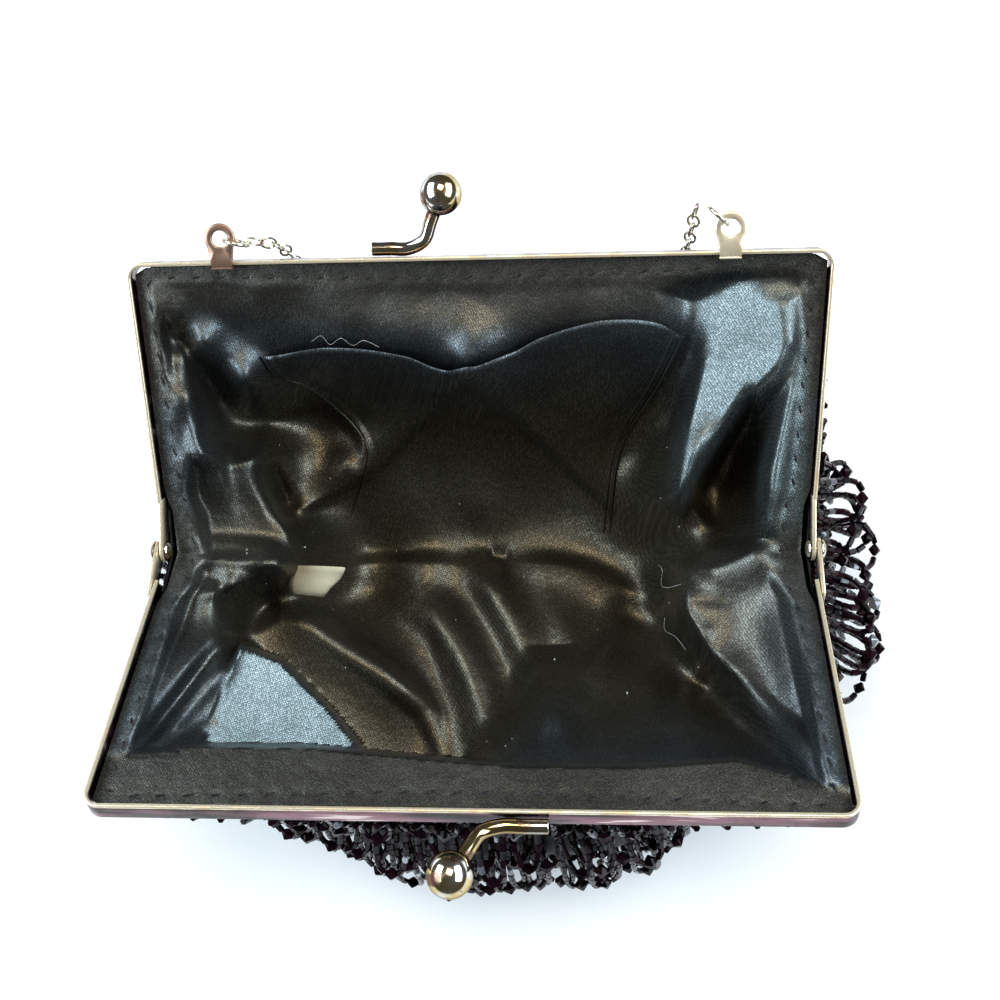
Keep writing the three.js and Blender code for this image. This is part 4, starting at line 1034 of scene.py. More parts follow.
def body_threads():
    """Lengths in mm round the body and down it, for its weave."""
    count, rows = BODY.shape[:2]
    down = np.cumsum(np.linalg.norm(np.diff(BODY, axis=1, prepend=BODY[:, :1]), axis=2), axis=1).mean(axis=0)
    step = np.linalg.norm(np.roll(BODY, -1, 0) - BODY, axis=2).mean(axis=1)
    warp = np.broadcast_to(np.cumsum(step), (rows, count)).reshape(-1)
    weft = np.repeat(down, count)
    return np.r_[warp, 0], np.r_[weft, down[-1]]


body_points, body_faces = satin_body()
body_piece = make_piece("body_satin", body_points, body_faces, OUTER_SATIN, ["bag_body"])
for thread_name, thread_values in zip(("warp", "weft"), body_threads()):
    paint(body_piece, thread_name, thread_values)
thickened(body_piece, BODY_THICK, -1)

# %% [markdown]
# ## Bead fringe
# Four rows of loops hang on the body. A loop is a strand of short glass bugle beads that leaves the cloth,
# turns round in a bow and comes back, with a larger cut bead at its lowest point. The loops fall over
# each other and stand away from the cloth, so each gets its own length, lift and twist from a seeded
# random draw. The beads of a row are copies of one small template, joined into one mesh.

# %% Bead templates
BUGLE_LENGTH = 2.5
BUGLE_RADIUS = 0.84
CUT_BEAD_LENGTH = 3.6
CUT_BEAD_RADIUS = 1.8
HEAD_BEAD_RADIUS = 0.9
BEAD_GAP = 0.07
BEAD_SIDES = 6
BUGLE_BEVEL = 0.16


def bead_template(profile):
    """Rings of (along, radius) round the x axis, closed at both ends."""
    ring = ring_section(1, BEAD_SIDES)
    points = np.concatenate([np.c_[np.full(BEAD_SIDES, along), radius * ring] for along, radius in profile])
    index = np.arange(len(points)).reshape(len(profile), BEAD_SIDES)
    quads = band_quads(index[:-1], index[1:])
    there = np.roll(index[[0, -1]], -1, 1)
    middle = [len(points), len(points) + 1]
    points = np.concatenate([points, [[profile[0][0], 0, 0], [profile[-1][0], 0, 0]]])
    caps = [(middle[0], b, a) for a, b in zip(index[0], there[0])]
    caps += [(middle[1], a, b) for a, b in zip(index[-1], there[1])]
    return points, quads, np.array(caps)


def bugle():
    half, inner = BUGLE_LENGTH / 2, BUGLE_LENGTH / 2 - BUGLE_BEVEL
    end_radius = BUGLE_RADIUS - BUGLE_BEVEL
    return bead_template([(-half, end_radius), (-inner, BUGLE_RADIUS), (inner, BUGLE_RADIUS), (half, end_radius)])


def cut_bead():
    half = CUT_BEAD_LENGTH / 2
    return bead_template([(-half, 0.45), (-0.15, CUT_BEAD_RADIUS), (0.15, CUT_BEAD_RADIUS), (half, 0.45)])


def head_bead():
    shares = [(-0.8, 0.4), (-0.5, 0.85), (0, 1), (0.5, 0.85), (0.8, 0.4)]
    return bead_template([(HEAD_BEAD_RADIUS * along, HEAD_BEAD_RADIUS * radius) for along, radius in shares])


TEMPLATES = {"bugle": bugle(), "cut": cut_bead(), "head": head_bead()}
print("faces in a bugle bead:", len(TEMPLATES["bugle"][1]) + len(TEMPLATES["bugle"][2]))

# %% Places on the body
def on_body(station, down, lift):
    """Points lifted off the body: station and down run from 0 to 1 round it and down it."""
    count, rows = BODY.shape[:2]
    j = np.mod(station, 1) * count
    i = np.clip(down, 0, 1) * (rows - 1)
    j0, i0 = np.floor(j).astype(int), np.minimum(np.floor(i).astype(int), rows - 2)
    u, v = (j - j0)[:, None], (i - i0)[:, None]
    j0, j1 = j0 % count, (j0 + 1) % count

    def between(grid):
        upper = grid[j0, i0] * (1 - u) + grid[j1, i0] * u
        lower = grid[j0, i0 + 1] * (1 - u) + grid[j1, i0 + 1] * u
        return upper * (1 - v) + lower * v

    return between(BODY) + between(BODY_OUT) * np.asarray(lift)[:, None]


def even_stations():
    """Stations that lie evenly along the body's belly."""
    belly = BODY[:, BODY.shape[1] // 2]
    step = np.linalg.norm(np.roll(belly, -1, 0) - belly, axis=1)
    return np.concatenate([[0], np.cumsum(step)]) / step.sum(), step.sum()


ALONG_BELLY, BELLY_LENGTH = even_stations()


def station_at(share):
    return np.interp(np.mod(share, 1), ALONG_BELLY, np.linspace(0, 1, len(ALONG_BELLY)))


print("length round the belly in mm:", round(BELLY_LENGTH))

# %% Bead loops
FRINGE_STARTS = [0.05, 0.215, 0.38, 0.545]
FRINGE_DROP = 0.195
LOOPS_IN_ROW = 126
HEAD_LIFT = 1.2
LAYER_LIFT = 1.7
LOOP_WIDTH = 0.9
LOOP_POINTS = 60
FLARE = {"rest": 0.6, "right": 12.0, "front": 6.0}
FLARE_RIGHT = {"y": -3, "none": 33, "full": 22}
FLARE_FRONT = {"x": -1, "none": 54, "full": 38}
OPEN_FLARE = 8
OPEN_WIDER = 0.6
HEAD_STEP = 2.1 * HEAD_BEAD_RADIUS
draw = np.random.default_rng(11)


def flare(share):
    """How far a loop's end stands off the cloth: most on the right side, then on the front, in mm."""
    x, y, _ = on_body(station_at(np.array([share])), np.array([0.5]), [0.0])[0]
    on_right = smooth(FLARE_RIGHT["none"], FLARE_RIGHT["full"], abs(y - FLARE_RIGHT["y"])) * (x > 0)
    on_front = smooth(FLARE_FRONT["none"], FLARE_FRONT["full"], abs(x - FLARE_FRONT["x"])) * (y < 0)
    return FLARE["rest"] + FLARE["right"] * on_right + FLARE["front"] * on_front


def loop_line(share, start, layer):
    """One loop as a line of points."""
    half = LOOP_WIDTH / LOOPS_IN_ROW * draw.uniform(0.8, 1.2)
    drop = FRINGE_DROP * draw.uniform(0.9, 1.1)
    twist = draw.uniform(-0.42, 0.42)
    stand = flare(share)
    half *= 1 + OPEN_WIDER * smooth(FLARE["front"], FLARE["right"], stand)
    reach = stand * draw.uniform(0.7, 1.12)
    sway = draw.uniform(-0.5, 0.5) / LOOPS_IN_ROW
    t = np.linspace(0, math.pi, LOOP_POINTS)
    across = -np.sign(np.cos(t)) * np.abs(np.cos(t)) ** 0.62
    down = np.abs(np.sin(t)) ** 0.85
    lift = HEAD_LIFT + layer * LAYER_LIFT + reach * down**1.4 + twist * across * 2.6 * down
    shares = share + half * across * (0.55 + 0.55 * down) + sway * down
    return on_body(station_at(shares), start + drop * down, lift)


def strung(line):
    """Bead centres, directions and kinds along a line: every bead takes its own length of it."""
    along = lengths_along(line)
    step = BUGLE_LENGTH + BEAD_GAP
    side = max(3, int((along[-1] - CUT_BEAD_LENGTH) / step)) // 2
    lengths = [step] * side + [CUT_BEAD_LENGTH + BEAD_GAP] + [step] * side
    middles = (np.cumsum(lengths) - np.array(lengths) / 2) * along[-1] / sum(lengths)
    kinds = ["bugle"] * side + ["cut"] + ["bugle"] * side
    ahead = at_lengths(line, along, middles + 1) - at_lengths(line, along, middles - 1)
    return at_lengths(line, along, middles), unit(ahead), kinds


print("most that a loop stands off the cloth, in mm:", FLARE["rest"] + FLARE["right"])

# %% Bead rows
def bead_row(start):
    places = {kind: ([], []) for kind in TEMPLATES}
    for k in range(LOOPS_IN_ROW):
        share = (k + draw.uniform(-0.2, 0.2)) / LOOPS_IN_ROW
        if k % 2 and flare(share) > OPEN_FLARE:
            continue
        for place, ahead, kind in zip(*strung(loop_line(share, start, k % 2))):
            places[kind][0].append(place)
            places[kind][1].append(ahead)
    heads = int(BELLY_LENGTH / HEAD_STEP)
    shares = np.arange(heads) / heads
    head_line = on_body(station_at(shares), np.full(heads, start), np.full(heads, HEAD_LIFT * 0.8))
    places["head"] = (list(head_line), list(directions(head_line, True)))
    return places


def beads_mesh(places):
    shapes, tints = [], []
    for kind, (middles, ahead) in places.items():
        points, quads, caps = TEMPLATES[kind]
        middles, ahead = np.array(middles), np.array(ahead)
        spin = draw.uniform(0, 2 * math.pi, len(middles))
        rough_up = np.where(np.abs(ahead[:, 2:]) > 0.9, (1.0, 0, 0), (0, 0, 1.0))
        side = unit(np.cross(ahead, rough_up))
        up = np.cross(side, ahead)
        a = side * np.cos(spin)[:, None] + up * np.sin(spin)[:, None]
        b = np.cross(ahead, a)
        scale = draw.uniform(0.92, 1.06, len(middles))[:, None, None]
        turned = points[:, :1] * ahead[:, None] + points[:, 1:2] * a[:, None] + points[:, 2:] * b[:, None]
        placed = middles[:, None] + scale * turned
        offset = (np.arange(len(middles)) * len(points))[:, None, None]
        shapes.append((placed.reshape(-1, 3), [(quads + offset).reshape(-1, 4), (caps + offset).reshape(-1, 3)]))
        tints.append(np.repeat(draw.uniform(0, 1, len(middles)), len(points)))
    points, faces = joined(shapes)
    return points, faces, np.concatenate(tints)


for row, row_start in enumerate(FRINGE_STARTS):
    bead_points, bead_faces, bead_tints = beads_mesh(bead_row(row_start))
    bead_points[:, 2] = np.maximum(bead_points[:, 2], 2 * FLOOR_GAP)
    node = f"bead_fringe_{row + 1}"
    bead_piece = make_piece(node + "_beads", bead_points, bead_faces, DARK_GLASS, [node])
    paint(bead_piece, "tint", bead_tints)

# %% [markdown]
# ## Lining
# The lining is what the photograph shows most: a limp satin bag, sewn flat to the frame, that falls away
# inside in long folds. It is laid out as it is looked into. A place in the mouth is where a line of sight
# crosses the level of the hinge, and every point of the cloth lies on its line at its own height over that
# level. The smoothest sheet through a table of places gives the large form. Flat panels are pulled level in
# it: each has its corners, a height, two slopes and a soft edge. Each fold is one row of a table: a bent line
# across the mouth, a half width on each side and a rise. A small half width makes a fold that stands over
# what lies behind it.

# %% Lines of sight and sewn edge
EYE = np.array((32.0, -64.0, 324.0))
MOUTH_MIDDLE = np.array((-2.0, 2.0))
LINING_EDGE_GAP = 0.35
LINING_EDGE_INSET = STRIP_THICK + LINING_EDGE_GAP
LINING_EDGE_DROP = 2.7
HINGE_TUCK = 1.4
LINING_NOTCH = 3
STITCH_STEP = 6.3
STITCH_INWARD = 4.6
PUCKER_WIDE = 1.6
PUCKER_DEEP = 0.25


def mouth_places(points):
    scale = EYE[2] / (EYE[2] - (points[:, 2] - HINGE_HEIGHT))
    return EYE[:2] + (points[:, :2] - EYE[:2]) * scale[:, None]


def seen(places, heights):
    scale = (EYE[2] - heights) / EYE[2]
    level = EYE[:2] + (places - EYE[:2]) * scale[:, None]
    return np.c_[level, HINGE_HEIGHT + heights]


def border_heights(places):
    slant = math.sin(TILT) * (EYE[1] - places[:, 1]) / EYE[2]
    back = (math.sin(TILT) * places[:, 1] - LINING_EDGE_DROP) / (math.cos(TILT) - slant)
    front = (-math.sin(TILT) * places[:, 1] - LINING_EDGE_DROP) / (math.cos(TILT) + slant)
    return np.maximum(back, front)


LINING_STATIONS = edge_stations(66, 130, LINING_NOTCH)
LINING_EDGE = edge_points(LINING_STATIONS, LINING_EDGE_INSET, LINING_EDGE_DROP, HINGE_TUCK)
EDGE_PLACES = mouth_places(LINING_EDGE)


def polar(places):
    away = places - MOUTH_MIDDLE
    return np.degrees(np.arctan2(away[:, 1], away[:, 0])) % 360, np.linalg.norm(away, axis=1)


edge_turns, edge_reaches = polar(EDGE_PLACES)
turn_order = np.argsort(edge_turns)


def inward_of(places):
    turns, reaches = polar(places)
    return np.interp(turns, edge_turns[turn_order], edge_reaches[turn_order], period=360) - reaches


EDGE_STEPS = np.linalg.norm(np.roll(LINING_EDGE, -1, 0) - LINING_EDGE, axis=1)
EDGE_ALONG = np.concatenate([[0], np.cumsum(EDGE_STEPS)[:-1]])
STITCHES = round(EDGE_STEPS.sum() / STITCH_STEP)


def puckers(places, inward):
    """Small dents where the stitches pull the cloth to the frame."""
    turns, _ = polar(places)
    along = np.interp(turns, edge_turns[turn_order], EDGE_ALONG[turn_order], period=360)
    pull = 0.5 + 0.5 * np.cos(along / EDGE_STEPS.sum() * STITCHES * 2 * math.pi)
    return PUCKER_DEEP * pull**2 * np.exp(-(((inward - STITCH_INWARD) / PUCKER_WIDE) ** 2))


print("stitches round the rim:", STITCHES)

# %% Tables of the lining
LINING_BAND = [  # x, y of places where the cloth still lies along the frame
    (-78, 73), (-62, 70), (-45, 68), (-30, 68), (-15, 67), (0, 66), (15, 68), (30, 71), (45, 72), (60, 73),
    (-78, -57), (-66, -56), (-52, -56), (-38, -56), (-24, -57), (-10, -58), (5, -59), (20, -60), (35, -60),
    (50, -59), (64, -58),
]
LINING_PLACES = {  # x, y, height
    "pocket hem": [
        (-57, 53, 10), (-41, 56, 18), (-23, 54, 19), (-5, 50, 17), (12, 57, 21), (30, 61, 24), (46, 60, 20)],
    "far left ridges": [
        (-87, 70, 27), (-77, 57, 17), (-64, 45, 8), (-66, 60, 17), (-85, 54, 17), (-80, 51.5, 13.5),
        (-77, 42, 10.5), (-75, 33, 6.5), (-71, 26, 2), (-90, 50, 16), (-66, 22, -3), (-60, 25.5, -7)],
    "far left valley": [(-82, 57, 12), (-74, 47, 2), (-70, 41, -7), (-68, 33, -11), (-62, 30, -14)],
    "left flap": [(-84, 30, 8), (-79, 12, -2), (-69, 12, -7), (-59, 14, -12), (-50, 3, -17)],
    "left shelf": [(-56, 34, -22), (-44, 36, -25), (-36, 31, -28), (-46, 22, -29), (-36, 23, -31), (-48, 13, -34)],
    "left of the hinge": [
        (-74, -2, -5), (-60, -3, -11), (-50, -5, -16), (-80, -14, 0), (-70, -14, -6), (-62, -10, -11),
        (-67, -22, -4), (-54, -14, -34), (-57, -20, -30)],
    "near left panel": [
        (-84, -46, 18), (-75, -46, 13), (-66, -36, 6), (-60, -30, 2), (-60, -46, 5), (-48, -40, -3),
        (-36, -47, -8), (-50, -30, -4)],
    "slanting band": [(-46, -20, -28), (-32, -32, -26), (-16, -45, -12), (-36, -14, -50), (-20, -24, -46)],
    "front wall": [
        (-15, -11, -50), (-4, -24, -36), (4, -36, -20), (12, -22, -38), (20, -34, -22), (0, -6, -55),
        (30, -12, -50), (-8, -38, -24)],
    "bottom and back wall": [
        (0, 1, -58), (-30, 1, -56), (30, 0, -55), (0, 22, -43), (-20, 20, -41), (0, 11, -51), (-20, 10, -49),
        (25, 25, -36), (-6, 38, -16), (16, 42, -8), (34, 40, -6), (40, 22, -28), (-22, 40, -14), (-34, 44, -4)],
    "near right wall": [
        (40, -30, -30), (30, -40, -14), (50, -40, -10), (46, -18, -44), (56, -34, -26), (64, -46, -4),
        (74, -54, 16)],
    "right sweep": [
        (61, 60, 14), (72, 60, 19), (61, 50, 8), (70, 50, 12), (78, 50, 16), (61, 40, 3), (70, 40, 7),
        (78, 40, 11), (57, 30, -3), (52, 22, -8), (48, 14, -14), (48, 34, -10), (42, 24, -24), (68, 32, -2),
        (62, 25, -15), (56, 17, -22), (60, 8, -22), (78, 30, 8), (76, 20, 4), (74, 10, 0), (68, 4, -8)],
    "right gusset": [
        (52, -6, -14), (64, -6, -8), (76, -5, -2), (51, -16, -14), (64, -18, -7), (77, -18, 1), (58, -26, -9),
        (70, -30, 1), (79, -32, 7), (66, -35, -4), (84, -50, 20), (77, -48, 12), (43, -10, -46), (44, -2, -44)],
}
LINING_FOLDS = [  # start x, y, bend x, y, end x, y, half width left, right, rise
    (-94, 73, -77, 57, -58, 37, 6, 4, 5),
    (-87, 66, -77, 42, -64, 6, 2, 6, 4),
    (-80, 38, -71, 10, -54, 30, 2, 8, 2.5),
    (-58, 30, -59, 14, -44, -2, 1.4, 4, 1.5),
    (-58, 25, -54, 16, -48, 6, 3, 3, -8),
    (-27, 24, -38, 15, -54, 8, 2, 7, 6),
    (-54, 50, -26, 34, -31, 18, 1.6, 2, 2.5),
    (-82, 1, -64, 3, -45, -1, 2.2, 2.2, 3),
    (-80, -3, -64, -1, -46, -5, 2.2, 2.2, 3),
    (-45, -5, -58, -5, -71, -12, 2, 6, 5),
    (-68, -7, -72, -14, -59, -27, 2, 7, 6),
    (-68, -20, -79, -36, -89, -51, 3, 5, 3),
    (-64, -22, -75, -37, -86, -51, 2.2, 2.2, -4),
    (-60, -24, -72, -37, -82, -51, 3, 4, 3),
    (-56, -11, -30, -22, -5, -47, 2.5, 9, 6),
    (-24, -5, 4, -24, 4, -62, 6, 6, 9),
    (-6, 1, 12, -18, 23, -58, 5, 5, 9),
    (-50, -8, -27, -1, 0, -5, 2.5, 5, 3),
    (6, -5, 23, 0, 46, -17, 2.5, 5, 3),
    (1, -2, 4, -2, 8, -3, 2.5, 2.5, -3),
    (60, 36, 42, 14, 61, 2, 2.6, 7, 5),
    (76, 54, 76, 25, 66, 4, 6, 4, 2),
    (50, -6, 64, -6, 73, 4, 2, 7, 5),
    (52, -4, 43, -18, 57, -30, 8, 2, 6),
    (50, -24, 66, -36, 88, -63, 7, 3, 5),
    (73, -8, 76, -34, 85, -64, 3, 5, 4),
    (38, -17, 26, -32, 10, -48, 6, 2.5, 6),
    (-12, 56, 12, 34, 40, 4, 11, 1.4, 8),
    (-2, 54, -16, 36, -34, 16, 2, 8, 5.5),
]
# A panel's gleam share paints a painted highlight on it: a brighter, bluer gloss colour.
LINING_PANELS = {
    "slanting band": {
        "corners": [(-62, -22), (-30, -62), (0, -62), (-13, -40), (-42, -18), (-51, -14)],
        "height": -35, "slope_x": -0.38, "slope_y": 0.0, "soft": 4.5, "gleam": 0.0},
    "bright front left": {
        "corners": [(-61, -24), (-73, -60), (-20, -60), (-37, -40), (-50, -28)],
        "height": -2, "slope_x": -0.56, "slope_y": 0.0, "soft": 0.8, "gleam": 1.0},
    "front folds": {
        "corners": [(-22, -8), (-10, -66), (-4, -66), (18, -24), (8, -8), (-2, -6)],
        "height": -48, "slope_x": 0.0, "slope_y": -0.4, "soft": 7, "gleam": 0.0},
    "right gusset": {
        "corners": [(50, -14), (60, -30), (80, -46), (81, -12), (74, 2), (60, 0), (51, -5)],
        "height": -5.5, "slope_x": 0.52, "slope_y": -0.05, "soft": 2.5, "gleam": 0.0},
    "right sweep": {
        "corners": [(50, 67), (61, 44), (70, 38), (82, 50), (80, 66), (66, 74)],
        "height": 22, "slope_x": 0.44, "slope_y": 0.3, "soft": 4.5, "gleam": 1.0},
    "foot of the sweep": {
        "corners": [(57, 60), (49, 28), (46.5, 13), (50, 11), (67, 38), (73, 50)],
        "height": 10.1, "slope_x": 0.44, "slope_y": 0.3, "soft": 3, "gleam": 0.9},
    "right strip": {
        "corners": [(65, 3), (80, 6), (83, 52), (71, 50), (70, 20)],
        "height": 10.5, "slope_x": 0.58, "slope_y": 0.24, "soft": 3, "gleam": 1.0},
    "left flap": {
        "corners": [(-78, 0), (-47, 0), (-57, 23), (-76, 23)],
        "height": -8, "slope_x": -0.3, "slope_y": 0.3, "soft": 2.6, "gleam": 0.0},
}
print("places, folds and panels:", sum(map(len, LINING_PLACES.values())), len(LINING_FOLDS), len(LINING_PANELS))

# %% Folds and the sheet under them
FOLD_SAMPLES = 30
SHEET_SCALE = 0.02
EDGE_STEP = 12
BAND_HANG = 0.5


def fold_rise(row, places):
    """How far one fold lifts the cloth. It dies out towards both ends of its line."""
    x0, y0, x1, y1, x2, y2, left, right, rise = row
    t = np.linspace(0, 1, FOLD_SAMPLES)[:, None]
    line = np.array((x0, y0)) * (1 - t) ** 2 + np.array((x1, y1)) * 2 * t * (1 - t)
    line = line + np.array((x2, y2)) * t**2
    nearest = np.full(len(places), np.inf)
    half = np.full(len(places), float(left))
    at = np.zeros(len(places))
    for k, (a, b) in enumerate(zip(line[:-1], line[1:])):
        along = b - a
        to = places - a
        share = np.clip(to @ along / (along @ along), 0, 1)
        away = np.linalg.norm(to - share[:, None] * along, axis=1)
        closer = away < nearest
        nearest[closer] = away[closer]
        half[closer] = np.where(along[0] * to[:, 1] - along[1] * to[:, 0] > 0, left, right)[closer]
        at[closer] = ((k + share) / (FOLD_SAMPLES - 1))[closer]
    return rise * smooth(0, 0.3, at) * smooth(1, 0.7, at) * np.exp(-((nearest / half) ** 2))


def bending(gap_squared):
    return gap_squared * np.log(np.maximum(gap_squared, 1e-9))


def bent_through(rows):
    """The weights of the smoothest sheet through rows of (x, y, height)."""
    count = len(rows)
    plan = rows[:, :2] * SHEET_SCALE
    gaps = ((plan[:, None] - plan[None]) ** 2).sum(-1)
    system = np.zeros((count + 3, count + 3))
    system[:count, :count] = bending(gaps)
    system[:count, count:] = np.c_[np.ones(count), plan]
    system[count:, :count] = system[:count, count:].T
    return plan, np.linalg.solve(system, np.r_[rows[:, 2], 0, 0, 0])


def sheet_heights(places):
    plan, weights = LINING_SHEET
    at = places * SHEET_SCALE
    heights = weights[-3] + at @ weights[-2:]
    for centre, weight in zip(plan, weights):
        heights = heights + weight * bending(((at - centre) ** 2).sum(-1))
    return heights


band = np.array(LINING_BAND, float)
LINING_SHEET = bent_through(np.concatenate([
    np.array([row for rows in LINING_PLACES.values() for row in rows], float),
    np.c_[EDGE_PLACES, LINING_EDGE[:, 2] - HINGE_HEIGHT][::EDGE_STEP],
    np.c_[band, border_heights(band) - BAND_HANG],
]))
print("places that the sheet goes through:", len(LINING_SHEET[0]))

# %% Height of the lining
RIM_FLAT = 4.6
RIM_FREE = 10
LINING_LOWEST = -64
LOWEST_ROUND = 6
NEAR_BAND_EDGE = [(-95, -52), (-83, -51), (-70, -49), (-43, -49), (-19, -51), (9, -53), (38, -53), (62, -51),
                  (76, -55), (95, -60)]
BAND_EDGE_SOFT = 0.7
BAND_SAG = 0.6
FACE_STEP = 0.8


def panel_share(panel, places):
    """How much a place belongs to a panel: 1 inside it, 0 outside, with a soft edge."""
    corners = np.array(panel["corners"], float)
    edge = np.roll(corners, -1, 0) - corners
    out = unit(np.stack([edge[:, 1], -edge[:, 0]], 1))
    away = np.max([(places - corner) @ normal for corner, normal in zip(corners, out)], axis=0)
    return smooth(panel["soft"], -panel["soft"], away)


def with_panels(heights, places):
    """The sheet pulled level onto its flat panels."""
    for panel in LINING_PANELS.values():
        middle = np.array(panel["corners"], float).mean(axis=0)
        plane = panel["height"] + (places - middle) @ np.array((panel["slope_x"], panel["slope_y"]))
        heights = heights + panel_share(panel, places) * (plane - heights)
    return heights


def near_band_share(places):
    """1 on the band that is sewn along the front bar, 0 behind its edge."""
    past = places[:, 1] - np.interp(places[:, 0], *np.array(NEAR_BAND_EDGE, float).T)
    return smooth(BAND_EDGE_SOFT, -BAND_EDGE_SOFT, past)


def lining_heights(places):
    folds = sum(fold_rise(row, places) for row in LINING_FOLDS)
    inward = inward_of(places)
    sewn = smooth(RIM_FLAT, RIM_FREE, inward)
    border = border_heights(places)
    free = with_panels(sheet_heights(places), places)
    heights = border * (1 - sewn) + free * sewn + folds * smooth(2, RIM_FREE, inward)
    heights = heights + near_band_share(places) * (border - BAND_SAG - heights)
    heights = heights - puckers(places, inward)
    low = LINING_LOWEST + LOWEST_ROUND
    rounded = LINING_LOWEST + LOWEST_ROUND * np.exp((heights - low) / LOWEST_ROUND)
    return np.where(heights < low, rounded, heights)


def lining_points(places):
    return seen(places, lining_heights(places))


def off_lining(places, off):
    """Points off the lining's face, into the bag where off is positive."""
    along_x = lining_points(places + (FACE_STEP, 0)) - lining_points(places - (FACE_STEP, 0))
    along_y = lining_points(places + (0, FACE_STEP)) - lining_points(places - (0, FACE_STEP))
    return lining_points(places) + unit(np.cross(along_x, along_y)) * np.reshape(off, (-1, 1))


lowest = lining_heights(np.array([MOUTH_MIDDLE]))[0]
print("cloth in the middle lies at", round(HINGE_HEIGHT + lowest, 1), "mm")

# %% Thread directions
BIAS = math.radians(28)
THREAD_DRAPE = -0.3


def paint_threads(piece, places):
    """Gives a cloth piece its two thread directions, in mm, turned to the bias and bent by the folds."""
    x, y = places.T
    drape = THREAD_DRAPE * lining_heights(places)
    paint(piece, "warp", x * math.cos(BIAS) + y * math.sin(BIAS) + drape)
    paint(piece, "weft", y * math.cos(BIAS) - x * math.sin(BIAS) + drape)


print("threads run at", round(math.degrees(BIAS)), "degrees to the frame")

# %% Lining mesh
LINING_RINGS = 168
RIM_RINGS = np.array([0.0, 0.6, 1.4, 2.4, 3.6, 4.8, 6.0])
FAR_BAND = {"full": 16, "gone": 26, "behind": 40}


def lining_sheet():
    reach = edge_reaches[:, None]
    inner = RIM_RINGS[-1] + (reach - RIM_RINGS[-1]) * (np.arange(1, LINING_RINGS + 1) / (LINING_RINGS + 0.5))
    inward = np.concatenate([np.broadcast_to(RIM_RINGS, (len(edge_reaches), len(RIM_RINGS))), inner], axis=1)
    places = EDGE_PLACES[:, None] + (MOUTH_MIDDLE - EDGE_PLACES)[:, None] * (inward / reach)[..., None]
    count, rows = inward.shape
    flat = np.concatenate([places.transpose(1, 0, 2).reshape(-1, 2), [MOUTH_MIDDLE + 0.01]])
    points = lining_points(flat)
    points[:count] = LINING_EDGE
    index = np.arange(count * rows).reshape(rows, count)
    fan = np.stack([index[-1], np.roll(index[-1], -1), np.full(count, count * rows)], -1)
    return points, [band_quads(index[:-1], index[1:]), fan], flat


sheet_points, sheet_faces, lining_flat = lining_sheet()
lining_piece = make_piece("lining_satin", sheet_points, sheet_faces, LINING_SATIN, ["lining"])
paint_threads(lining_piece, lining_flat)
# Painted shade: the flat bands along both bars get the darker, warmer border colour.
far_band = smooth(FAR_BAND["gone"], FAR_BAND["full"], inward_of(lining_flat))
far_band = far_band * (lining_flat[:, 1] > FAR_BAND["behind"])
near_band = near_band_share(lining_flat)
paint(lining_piece, "border", np.maximum(near_band, far_band))
# Painted highlight on the panels that face a lamp, kept off the front band.
gleam = np.max([panel["gleam"] * panel_share(panel, lining_flat) for panel in LINING_PANELS.values()], axis=0)
paint(lining_piece, "gleam", gleam * (1 - near_band))

# %% [markdown]
# ## Pocket and care label
# A patch pocket is sewn to the back of the lining, with a hem that gapes and a piped seam at each side. The
# label is a short ribbon, folded over on itself and sewn in beside the left hinge. It stays blank.

# %% Pocket
POCKET_HEM = [
    (-60, 52.5), (-41, 56.3), (-21, 54.3), (-8.5, 50.2), (6, 54.3), (14, 58.2), (31, 62), (44, 61), (51, 56.5)]
POCKET_LEFT = [(-60, 52.5), (-56, 47.5), (-47.5, 45), (-39, 38.7), (-32.7, 31.8), (-30, 25), (-34, 8)]
POCKET_RIGHT = [(51, 56.5), (44.7, 43.4), (37.6, 31.8), (34.7, 25.2), (32, 4)]
POCKET_GRID = (90, 44)
POCKET_STAND = 0.75
POCKET_SINK = 0.95
POCKET_GAPE = 2.4
POCKET_THICK = 0.0003


def plane_curve(points, count):
    """A smooth line through points of a plane, as an even count of steps."""
    line = curve_through(np.c_[np.array(points, float), np.zeros(len(points))], 24)[:, :2]
    along = lengths_along(line)
    return at_lengths(line, along, np.linspace(0, along[-1], count + 1))


def pocket_places(columns, rows):
    hem = plane_curve(POCKET_HEM, columns)[None]
    left = plane_curve(POCKET_LEFT, rows)[:, None]
    right = plane_curve(POCKET_RIGHT, rows)[:, None]
    across = np.linspace(0, 1, columns + 1)[None, :, None]
    down = np.linspace(0, 1, rows + 1)[:, None, None]
    bow = hem - (hem[:, :1] * (1 - across) + hem[:, -1:] * across)
    return left * (1 - across) + right * across + bow * (1 - down)


def pocket_sheet():
    columns, rows = POCKET_GRID
    places = pocket_places(columns, rows)
    across, down = np.meshgrid(np.linspace(0, 1, columns + 1), np.linspace(0, 1, rows + 1))
    gape = POCKET_GAPE * (4 * across * (1 - across)) ** 0.8 * (1 - down) ** 2.5
    off = POCKET_STAND - POCKET_SINK * down**3 + gape
    points = off_lining(places.reshape(-1, 2), off.reshape(-1))
    index = np.arange(len(points)).reshape(rows + 1, columns + 1)
    quads = np.stack([index[1:, :-1], index[1:, 1:], index[:-1, 1:], index[:-1, :-1]], -1).reshape(-1, 4)
    return points, [quads], places.reshape(-1, 2)


pocket_points, pocket_faces, pocket_flat = pocket_sheet()
pocket_piece = make_piece("pocket_satin", pocket_points, pocket_faces, LINING_SATIN, ["pocket"])
paint_threads(pocket_piece, pocket_flat)
thickened(pocket_piece, POCKET_THICK, -1)

# %% Care label
LABEL = {"x": -48, "y": -7, "off": 0.8, "long": 13.5, "wide": 7.5, "gap": 0.9, "fold": 0.94,
         "turn": -8, "lift": 20, "skew": 1.1, "curl": 2.6, "sag": 1.4}
LABEL_THICK = 0.0003


